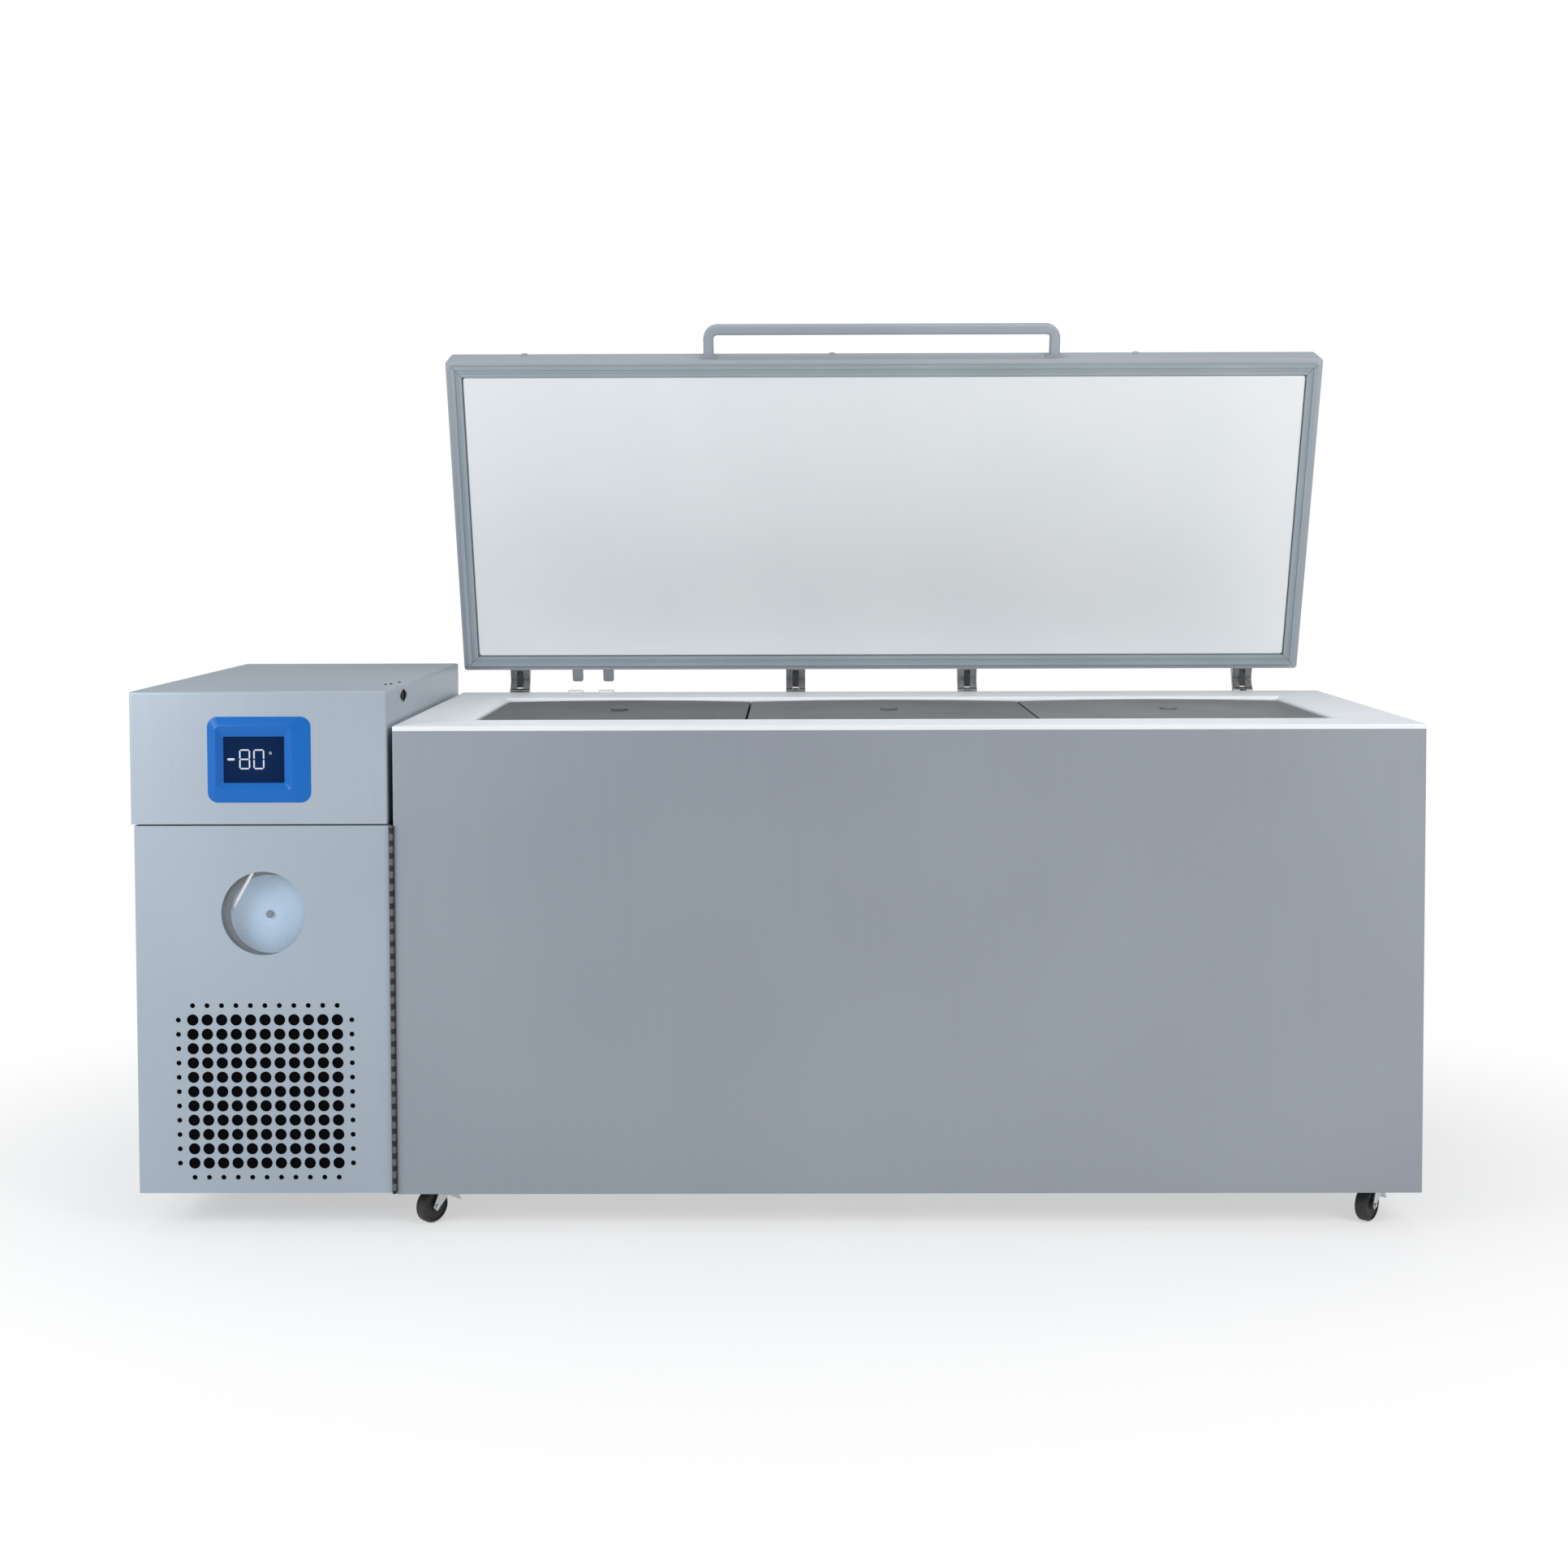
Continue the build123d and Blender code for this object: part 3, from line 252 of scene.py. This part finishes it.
chest_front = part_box("chest_case")[0].y
hood_low, hood_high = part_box("hood_shell")
screen_low, screen_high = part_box("touch_screen")
disc_low, disc_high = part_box("chart_disc")
disc_centre = (disc_low + disc_high) / 2
hinge = next(joint for joint in frame["joints"] if joint["name"] == "lid_hinge")
lid_pivot = Vector(hinge["pos_m"])
lid_angle = radians(73)
swing = (
    Matrix.Translation(lid_pivot)
    @ Matrix.Rotation(-lid_angle, 4, "X")
    @ Matrix.Translation(-lid_pivot)
)


# Finishes

painted = silver_paint("silver body paint")
painted_door = silver_paint("silver door paint", (0.322, 0.372, 0.43), (0.385, 0.44, 0.502))
painted_hood = silver_paint("silver hood paint", (0.33, 0.378, 0.434), (0.4, 0.453, 0.512))
lid_paint = silver_paint("silver lid paint", (0.34, 0.372, 0.41), (0.41, 0.443, 0.482))
rim_white = moulded(
    "white rim", (0.75, 0.775, 0.795), (0.79, 0.812, 0.83), (0.38, 0.5), coat=0.08
)
panel_white = moulded(
    "white lid liner", (0.745, 0.77, 0.785), (0.785, 0.806, 0.818), (0.34, 0.46), coat=0.1
)
handle_grey = moulded(
    "grey handle", (0.285, 0.317, 0.36), (0.345, 0.378, 0.422), (0.35, 0.5)
)
plug_grey = moulded("grey plugs", (0.3, 0.31, 0.33), (0.36, 0.37, 0.39))
bezel_blue = moulded(
    "blue bezel", (0.004, 0.112, 0.42), (0.007, 0.142, 0.5), (0.3, 0.4), 600, 0.00003
)
bezel_blue.set(Specular_IOR_Level=0.25)
black_plastic = moulded("black plastic", (0.012, 0.012, 0.013), (0.022, 0.022, 0.024))
# The recorder housing is darkened as painted shade in the round recess of the door.
recess_painted_shade_grey = moulded("recorder grey with painted shade", (0.09, 0.11, 0.13), (0.13, 0.155, 0.18))
hub_grey = moulded("hub grey", (0.06, 0.09, 0.13), (0.09, 0.13, 0.18))
tyre_black = moulded(
    "black tyre", (0.014, 0.014, 0.015), (0.03, 0.03, 0.032), (0.5, 0.7), 300
)
sensor_grey = moulded("sensor grey", (0.2, 0.21, 0.22), (0.27, 0.28, 0.29))
enamel = moulded(
    "black enamel", (0.012, 0.012, 0.012), (0.03, 0.03, 0.03), (0.25, 0.4), 200, 0.0001, 0.4
)
zinc = plated("bright zinc", (0.5, 0.51, 0.52), (0.68, 0.69, 0.7))
steel = plated("brushed steel", (0.45, 0.46, 0.47), (0.6, 0.61, 0.62), stretch=(0.05, 1, 1))
galvanised = plated(
    "galvanised sheet", (0.42, 0.43, 0.45), (0.58, 0.59, 0.6), (0.35, 0.6), 0.8
)
copper = plated("copper tube", (0.62, 0.28, 0.16), (0.78, 0.4, 0.25), (0.25, 0.45))
fins = plated("fin aluminium", (0.5, 0.51, 0.52), (0.66, 0.67, 0.68), (0.3, 0.5))
hinge_dark = plated(
    "dark hinge", (0.1, 0.102, 0.105), (0.34, 0.345, 0.35), (0.2, 0.38), 0.85
)
lock_black = plated(
    "black lock", (0.012, 0.012, 0.013), (0.03, 0.03, 0.032), (0.4, 0.55), 0.2
)
lock_black.set(Specular_IOR_Level=0.12)
pen_bright = plated("bright pen", (0.72, 0.73, 0.75), (0.85, 0.86, 0.88), (0.15, 0.25))


def foam_finish():
    finish = Finish("cream foam")
    cell = finish.noise(500, 4.0)
    cream = finish.ramp(cell, 0.3, 0.7, (0.62, 0.52, 0.28), (0.74, 0.64, 0.4))
    finish.set(Base_Color=cream, Roughness=0.9)
    return finish.bump(cell, 0.0004)


def filter_finish():
    finish = Finish("black filter foam")
    cells = finish.add(
        "TexVoronoi", None, {"Vector": finish.local, "Scale": 420.0}, output="Distance"
    )
    soot = finish.ramp(cells, 0.0, 0.6, (0.0008, 0.0008, 0.001), (0.004, 0.004, 0.005))
    finish.set(Base_Color=soot, Roughness=1.0, Specular_IOR_Level=0.02)
    return finish.bump(cells, 0.001)


def knuckle_finish():
    """The piano hinge, with painted shade in the gap beside each knuckle; its dark metal tone
    also paints the shade in the gap between door and chest.
    """
    knuckle_pitch = 0.024
    finish = Finish("piano hinge")
    # Near-black bands along the knuckles are painted shade in the gaps between them.
    knuckle_gap_shade = (finish.z * (tau / knuckle_pitch)).wave().above(0.1, 0.2)
    speck = finish.noise(300, 3.0)
    gap_shaded_metal = finish.ramp(speck, 0.3, 0.7, (0.085, 0.09, 0.097), (0.15, 0.156, 0.165))
    finish.set(
        Base_Color=finish.mix(knuckle_gap_shade, gap_shaded_metal, (0.016, 0.017, 0.019)),
        Roughness=finish.spread(speck, 0.3, 0.7, 0.5, 0.65),
        Metallic=0.3,
    )
    return finish.bump(speck * 0.2 - knuckle_gap_shade, 0.0003, 0.5)


def cover_finish(name, base, light):
    finish = Finish(name)
    cloud = finish.noise(6.0, 4.0)
    speck = finish.noise(700, 3.0)
    shade = finish.ramp(cloud * 0.6 + speck * 0.4, 0.3, 0.7, base, light)
    finish.set(Base_Color=shade, Roughness=finish.spread(speck, 0.3, 0.7, 0.42, 0.6))
    return finish.bump(speck * 0.6 + cloud * 0.4, 0.0001, 0.5)


def seal_finish():
    """The lid's rubber frame, with a fine mitred joint at each corner."""
    finish = Finish("grey seal", shift=lid_pivot, turn=(-lid_angle, 0, 0))
    low, high = lid_sides
    across = (finish.x - (low.x + high.x) / 2).size() - (high.x - low.x) / 2
    along = (finish.y - (low.y + high.y) / 2).size() - (high.y - low.y) / 2
    mitre = (across - along).size().below(0.0007, 0.0004)
    cloud = finish.noise(5.0, 3.0)
    speck = finish.noise(900, 2.0)
    rubber = finish.ramp(
        cloud * 0.6 + speck * 0.4, 0.3, 0.7, (0.268, 0.315, 0.352), (0.33, 0.382, 0.42)
    )
    finish.set(
        Base_Color=finish.mix(mitre, rubber, (0.1, 0.11, 0.12)),
        Roughness=finish.spread(speck, 0.3, 0.7, 0.5, 0.66),
    )
    return finish.bump(speck * 0.3 - mitre, 0.0004, 0.6)


def screen_finish():
    finish = Finish("navy display")
    centre = (screen_low + screen_high) / 2
    across = (finish.x - centre.x).math("POWER", 2)
    along = (finish.z - centre.z).math("POWER", 2)
    reach = (across + along).math("SQRT")
    glow = finish.ramp(reach, 0.0, 0.075, (0.004, 0.02, 0.075), (0.0015, 0.008, 0.032))
    return finish.set(
        Base_Color=(0.002, 0.008, 0.03),
        Roughness=0.2,
        Emission_Color=glow,
        Emission_Strength=0.7,
        Specular_IOR_Level=0.03,
    )


def digit_finish():
    finish = Finish("lit digits")
    fade = finish.noise(300, 1.0)
    tone = finish.ramp(fade, 0.2, 0.8, (0.82, 0.88, 0.96), (0.95, 0.98, 1.0))
    return finish.set(
        Base_Color=(0.05, 0.06, 0.08),
        Emission_Color=tone,
        Emission_Strength=0.7,
        Roughness=0.4,
    )


def chart_finish():
    """Chart paper with plain rings and swept hour lines."""
    ring_pitch, hour_lines, sweep = 0.004, 24.0, 9.0
    inner_edge, outer_edge = 0.022, 0.072
    finish = Finish("printed chart", shift=disc_centre)
    reach = (finish.x.math("POWER", 2) + finish.z.math("POWER", 2)).math("SQRT")
    angle = finish.z.math("ARCTAN2", finish.x)
    rings = (reach * (tau / ring_pitch)).wave().above(0.94, 0.05)
    hours = ((angle + reach * sweep) * hour_lines).wave().above(0.985, 0.012)
    printed = reach.above(inner_edge).both(reach.below(outer_edge))
    lines = rings.either(hours).both(printed)
    fibre = finish.noise(500, 3.0)
    paper = finish.ramp(fibre, 0.3, 0.7, (0.42, 0.6, 0.8), (0.5, 0.68, 0.88))
    ink = finish.mix(lines * 0.3, paper, (0.12, 0.28, 0.38))
    finish.set(Base_Color=ink, Roughness=0.7)
    return finish.bump(fibre, 0.00005, 0.4)


def glass_finish():
    finish = Finish("clear window")
    haze = finish.noise(60, 2.0)
    finish.set(
        Base_Color=(0.9, 0.95, 1.0),
        Roughness=finish.spread(haze, 0.3, 0.7, 0.03, 0.06),
        Alpha=0.08,
        Coat_Weight=0.1,
    )
    return finish


# Pieces

def merged(node):
    """A copy of a node's mesh, joined up and with its flat faces whole."""
    mesh = bmesh.new()
    mesh.from_mesh(nodes[node].data)
    bmesh.ops.remove_doubles(mesh, verts=mesh.verts, dist=0.00002)
    bmesh.ops.dissolve_limit(
        mesh, angle_limit=radians(0.6), verts=mesh.verts, edges=mesh.edges,
        use_dissolve_boundaries=False,
    )
    return mesh


def piece(name, mesh, body, finish, stands_for=(), edge=0.0, smooth=32, segments=2):
    for face in mesh.faces:
        face.smooth = True
    for line in mesh.edges:
        line.smooth = line.is_manifold and line.calc_face_angle(0) < radians(smooth)
    data = bpy.data.meshes.new(name)
    mesh.to_mesh(data)
    mesh.free()
    shape = bpy.data.objects.new(name, data)
    bpy.context.scene.collection.objects.link(shape)
    data.materials.append(finish.material)
    if edge:
        bevel = shape.modifiers.new("rounded edges", "BEVEL")
        bevel.width = edge
        bevel.segments = segments
        bevel.limit_method = "ANGLE"
        bevel.angle_limit = radians(smooth)
        bevel.harden_normals = True
        bevel.use_clamp_overlap = True
    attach(shape, body)
    if stands_for:
        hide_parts(*stands_for)
    return shape


def dressed(node, finish, edge=0.0, smooth=32, segments=2):
    """The node itself with rounded edges and its finish."""
    body = nodes[node]["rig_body"]
    return piece(
        f"{node}_dressed", merged(node), body, finish, (node,),
        edge, smooth, segments,
    )


def coated(node, finish):
    nodes[node].data.materials.clear()
    nodes[node].data.materials.append(finish.material)


def hex_bar(mesh, centre, length, width, depth, upright):
    """One stroke of a digit, pointed at both ends."""
    half = width / 2
    end = length / 2
    outline = [
        (-end, 0), (half - end, half), (end - half, half),
        (end, 0), (end - half, -half), (half - end, -half),
    ]
    corners = []
    for along, across in outline:
        x, z = (across, along) if upright else (along, across)
        corners.append(mesh.verts.new((centre[0] + x, centre[1], centre[2] + z)))
    face = mesh.faces.new(corners)
    grown = bmesh.ops.extrude_face_region(mesh, geom=[face])["geom"]
    moved = [item for item in grown if isinstance(item, bmesh.types.BMVert)]
    bmesh.ops.translate(mesh, vec=(0, depth, 0), verts=moved)


def show_digits():
    mesh = bmesh.new()
    face = screen_low.y - 0.0002
    middle = (screen_low.z + screen_high.z) / 2
    width, height, stroke, depth = 0.0182, 0.0354, 0.0027, 0.0001
    level = middle + 0.0008
    minus_place, first_place, second_place, degree_place = -0.0434, -0.0174, 0.0095, 0.0316

    def digit(x, lit):
        spots = {
            "top": (x, level + height / 2, False),
            "middle": (x, level, False),
            "bottom": (x, level - height / 2, False),
            "upper left": (x - width / 2, level + height / 4, True),
            "upper right": (x + width / 2, level + height / 4, True),
            "lower left": (x - width / 2, level - height / 4, True),
            "lower right": (x + width / 2, level - height / 4, True),
        }
        for name in lit:
            sx, sz, upright = spots[name]
            length = (height / 2 if upright else width) - 0.0012
            hex_bar(mesh, (sx, face, sz), length, stroke, depth, upright)

    ring = ["top", "bottom", "upper left", "upper right", "lower left", "lower right"]
    centre = (screen_low.x + screen_high.x) / 2
    digit(centre + first_place, ring + ["middle"])
    digit(centre + second_place, ring)
    hex_bar(mesh, (centre + minus_place, face, level), 0.015, 0.0042, depth, False)
    degree = Vector((centre + degree_place, face, level + height / 3))
    circle = bmesh.ops.create_circle(mesh, cap_ends=False, segments=16, radius=0.0016)["verts"]
    turn = Matrix.Rotation(radians(90), 3, "X")
    bmesh.ops.rotate(mesh, matrix=turn, cent=(0, 0, 0), verts=circle)
    bmesh.ops.translate(mesh, vec=degree, verts=circle)
    rim = list({line for vert in circle for line in vert.link_edges})
    grown = bmesh.ops.extrude_edge_only(mesh, edges=rim)["geom"]
    outer = [item for item in grown if isinstance(item, bmesh.types.BMVert)]
    bmesh.ops.scale(
        mesh, vec=(1.6, 1, 1.6), verts=outer, space=Matrix.Translation(-degree)
    )
    bmesh.ops.recalc_face_normals(mesh, faces=mesh.faces)
    piece("display_digits", mesh, "cabinet", digit_finish())


def hood_screws():
    """The three small screws on the hood's top, each with a sunk middle."""
    radius = 0.0035
    places = ((0.4551, 0.1528), (0.4628, 0.1669), (0.4696, 0.2145))
    mesh = bmesh.new()
    for x, y in places:
        start = len(mesh.verts)
        made = bmesh.ops.create_cone(
            mesh, cap_ends=True, segments=14,
            radius1=radius, radius2=radius * 0.62, depth=radius * 0.5,
        )["verts"]
        faces = [face for vert in made for face in vert.link_faces]
        top = max(faces, key=lambda face: face.calc_center_median().z)
        bmesh.ops.inset_region(mesh, faces=[top], thickness=radius * 0.3)
        bmesh.ops.translate(mesh, vec=(0, 0, -radius * 0.22), verts=top.verts)
        mesh.verts.ensure_lookup_table()
        spot = Vector((hood_low.x + x, chest_front + y, hood_high.z + radius * 0.2))
        bmesh.ops.translate(mesh, vec=spot, verts=mesh.verts[start:])
    piece("hood_screws", mesh, "cabinet", lock_black)


def hinge_shade_webs():
    """Plates between the two arms of each lid hinge, in near-black plastic as painted shade in
    the gap between the arms.
    """
    hinge_width = 0.044
    plate = (0.0146, 0.003, 0.0445)
    behind_pin, above_pin = 0.0055, 0.0337
    lean = Matrix.Rotation(radians(-6), 3, "X")
    leaf_low, leaf_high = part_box("hinge_lid_leaves")
    first = leaf_low.x + hinge_width / 2
    last = leaf_high.x - hinge_width / 2
    mesh = bmesh.new()
    for middle in (first, first + 0.637, last - 0.635, last):
        made = bmesh.ops.create_cube(mesh, size=1.0)["verts"]
        bmesh.ops.scale(mesh, vec=plate, verts=made)
        bmesh.ops.rotate(mesh, matrix=lean, cent=(0, 0, 0), verts=made)
        place = (middle, lid_pivot.y + behind_pin, lid_pivot.z + above_pin)
        bmesh.ops.translate(mesh, vec=place, verts=made)
    # The black finish on these plates is painted shade in the gap between the hinge arms.
    piece("hinge_shade_webs", mesh, "lid", black_plastic, edge=0.0004)


def lock_plate():
    """The oval plate that the key lock turns in."""
    half_height, half_length, thickness = 0.0088, 0.027, 0.0024
    sideways = Matrix.Rotation(radians(90), 3, "Y")
    low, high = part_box("key_lock")
    mesh = bmesh.new()
    made = bmesh.ops.create_cone(
        mesh, cap_ends=True, segments=40, radius1=1, radius2=0.94, depth=1
    )["verts"]
    bmesh.ops.scale(mesh, vec=(half_height, half_length, thickness), verts=made)
    bmesh.ops.rotate(mesh, matrix=sideways, cent=(0, 0, 0), verts=made)
    centre = (hood_high.x + 0.0011, (low.y + high.y) / 2, (low.z + high.z) / 2)
    bmesh.ops.translate(mesh, vec=centre, verts=made)
    piece("lock_plate", mesh, "cabinet", lock_black)


def closed_box(node):
    """A lid node's corners with the lid down, measured from the hinge pin."""
    back_down = swing.inverted()
    points = [back_down @ vert.co for vert in nodes[node].data.vertices]
    low = Vector(min(point[axis] for point in points) for axis in range(3))
    high = Vector(max(point[axis] for point in points) for axis in range(3))
    return low - lid_pivot, high - lid_pivot


lid_sides = closed_box("lid_shell")

seal_grey = seal_finish()
cream_foam = foam_finish()
black_filter = filter_finish()
# The three inner lids share one grey; their tones step from dark at the left to light at the
# right as painted shade and painted light.
cover_left_painted_shade = cover_finish("grey cover left painted shade", (0.052, 0.055, 0.059), (0.092, 0.095, 0.1))
cover_middle_painted_half_shade = cover_finish(
    "grey cover middle painted half shade", (0.072, 0.076, 0.08), (0.125, 0.129, 0.133)
)
cover_right_painted_light = cover_finish(
    "grey cover right painted light", (0.105, 0.109, 0.114), (0.168, 0.173, 0.18)
)

dressed("chest_case", painted, 0.0006)
dressed("hood_shell", painted_hood, 0.0006)
dressed("service_door", painted_door)
dressed("cabinet_side_panel", painted, 0.0004)
dressed("cabinet_back_panel", painted)
dressed("cabinet_base_pan", painted)
dressed("chest_back_panel", painted)
dressed("chest_base_pan", galvanised)
dressed("collar", rim_white, 0.0015, segments=3)
dressed("liner_tank", steel)
dressed("lid_shell", lid_paint, 0.0006)
dressed("lid_inner_panel", panel_white, 0.002, segments=3)
dressed("lid_gasket", seal_grey, 0.0004)
dressed("lid_handle", handle_grey, 0.0008)
dressed("lid_plugs", plug_grey, 0.0004)
dressed("lid_magnets", sensor_grey, 0.0012, segments=3)
dressed("lid_sensors", rim_white, 0.0012, segments=3)
dressed("hinge_chest_leaves", hinge_dark, 0.0006)
dressed("hinge_lid_leaves", hinge_dark, 0.0006)
dressed("display_bezel", bezel_blue, 0.0015, segments=3)
dressed("touch_screen", screen_finish())
dressed("key_lock", lock_black, 0.0004)
dressed("window_glass", glass_finish())
dressed("recorder_housing", recess_painted_shade_grey, 0.0012)
dressed("chart_disc", chart_finish())
dressed("chart_hub", hub_grey, 0.0006)
dressed("pen_arm", pen_bright, 0.0003)
dressed("filter_frame", black_plastic, 0.0008)
dressed("air_filter", black_filter)
dressed("door_hinge_leaf", knuckle_finish())
dressed("piano_hinge_leaf", knuckle_finish())
dressed("inner_lid_left", cover_left_painted_shade, 0.004, segments=3)
dressed("inner_lid_middle", cover_middle_painted_half_shade, 0.004, segments=3)
dressed("inner_lid_right", cover_right_painted_light, 0.004, segments=3)
dressed("access_port", rim_white, 0.001)
dressed("compressor_first_stage", enamel, 0.0015)
dressed("compressor_second_stage", enamel, 0.0015)
dressed("condenser", fins)
dressed("fan_shroud", galvanised, 0.0006)
dressed("fan_motor", enamel, 0.0012)
dressed("fan_rotor", fins, 0.0006)
dressed("refrigerant_pipes", copper)
dressed("filter_drier", copper, 0.001)
dressed("control_box", galvanised, 0.0012)
dressed("power_inlet", black_plastic, 0.0008)
dressed("power_switch", black_plastic, 0.0008)
dressed("caster_plates", zinc, 0.0004)
for corner in ("front_left", "front_right", "rear_left", "rear_right"):
    dressed(f"caster_fork_{corner}", zinc, 0.0003)
    dressed(f"caster_wheel_{corner}", tyre_black, 0.0012)
for corner in ("front_left", "front_right"):
    dressed(f"caster_brake_{corner}", zinc, 0.0005)
coated("chest_insulation", cream_foam)
coated("lid_foam", cream_foam)
coated("evaporator_tube", copper)

show_digits()
hinge_shade_webs()
lock_plate()
hood_screws()


# Floor, light and camera

def floor_finish():
    """A pale floor that keeps a soft shadow near the object and is white further off."""
    near, away, lengthwise = 0.75, 1.6, 0.42
    finish = Finish("pale floor")
    along = finish.x.math("POWER", 2) * lengthwise
    reach = (along + finish.y.math("POWER", 2)).math("SQRT")
    far = reach.above((near + away) / 2, (away - near) / 2)
    tone = finish.noise(2.0, 2.0)
    pale = finish.ramp(tone, 0.3, 0.7, (0.86, 0.86, 0.86), (0.88, 0.88, 0.88))
    finish.set(Base_Color=pale, Roughness=0.85)
    paths = finish.add("LightPath", output=None)
    camera = Value(finish, paths.outputs["Is Camera Ray"])
    glossy = Value(finish, paths.outputs["Is Glossy Ray"])
    white = finish.add("Emission", None, {"Color": (1, 1, 1), "Strength": 1.0})
    seen = (far * 0.5 + 0.5).both(camera.either(glossy))
    mixed = finish.add("MixShader", None, {0: seen, 2: white}, output=None)
    finish.tree.links.new(finish.shader.outputs[0], mixed.inputs[1])
    finish.tree.links.new(mixed.outputs[0], finish.tree.nodes["Material Output"].inputs[0])
    return finish


def lay_floor():
    mesh = bmesh.new()
    bmesh.ops.create_grid(mesh, x_segments=2, y_segments=2, size=40)
    data = bpy.data.meshes.new("floor")
    mesh.to_mesh(data)
    mesh.free()
    floor = bpy.data.objects.new("floor", data)
    bpy.context.scene.collection.objects.link(floor)
    data.materials.append(floor_finish().material)


def light_world():
    world = bpy.data.worlds.new("white room")
    bpy.context.scene.world = world
    world.use_nodes = True
    tree = world.node_tree
    background = tree.nodes["Background"]
    background.inputs["Color"].default_value = (0.93, 0.96, 1.0, 1)
    background.inputs["Strength"].default_value = 0.46
    white = tree.nodes.new("ShaderNodeBackground")
    white.inputs["Color"].default_value = (1, 1, 1, 1)
    white.inputs["Strength"].default_value = 1.0
    paths = tree.nodes.new("ShaderNodeLightPath")
    mixed = tree.nodes.new("ShaderNodeMixShader")
    tree.links.new(paths.outputs["Is Camera Ray"], mixed.inputs[0])
    tree.links.new(background.outputs[0], mixed.inputs[1])
    tree.links.new(white.outputs[0], mixed.inputs[2])
    tree.links.new(mixed.outputs[0], tree.nodes["World Output"].inputs[0])


def soft_lamp(name, place, target, size, power, colour=(1, 1, 1)):
    lamp = bpy.data.lights.new(name, "AREA")
    lamp.shape = "RECTANGLE"
    lamp.size, lamp.size_y = size
    lamp.energy = power
    lamp.color = colour
    holder = bpy.data.objects.new(name, lamp)
    bpy.context.scene.collection.objects.link(holder)
    holder.location = place
    aim = Vector(target) - Vector(place)
    holder.rotation_euler = aim.to_track_quat("-Z", "Y").to_euler()


def set_camera():
    """The photograph's view, with its lens and centre in pixels of the frame."""
    frame_pixels, focal_pixels = 1932, 2382.2
    middle_x, middle_y = 975.7, 747.4
    beside, before, height = 1.2716, 3.6497, 1.3365
    pitch, yaw, roll = 0.0382, -0.0038, -0.0028
    ahead = Vector((sin(yaw) * cos(pitch), cos(yaw) * cos(pitch), -sin(pitch)))
    right = Vector((cos(yaw), -sin(yaw), 0))
    up = right.cross(ahead)
    side = cos(roll) * right + sin(roll) * up
    top = cos(roll) * up - sin(roll) * right
    data = bpy.data.cameras.new("camera")
    data.sensor_width = 36
    data.lens = focal_pixels * data.sensor_width / frame_pixels
    data.shift_x = (frame_pixels / 2 - middle_x) / frame_pixels
    data.shift_y = (middle_y - frame_pixels / 2) / frame_pixels
    data.clip_end = 100
    camera = bpy.data.objects.new("camera", data)
    bpy.context.scene.collection.objects.link(camera)
    turned = Matrix((side, top, -ahead)).transposed().to_4x4()
    place = Matrix.Translation((hood_low.x + beside, chest_front - before, height))
    camera.matrix_world = place @ turned
    bpy.context.scene.camera = camera


lay_floor()
light_world()
soft_lamp("key", (2.7, -2.9, 2.6), (1.1, 0, 0.9), (1.6, 1.6), 74, (1, 0.99, 0.98))
soft_lamp("fill", (-2.9, -2.3, 1.9), (-1.1, -0.2, 0.9), (1.4, 1.4), 58, (0.95, 0.98, 1))
soft_lamp("top", (0, 0.2, 4.2), (0, 0, 0), (4.0, 2.5), 47)
set_camera()
bpy.context.scene.view_settings.view_transform = "Standard"
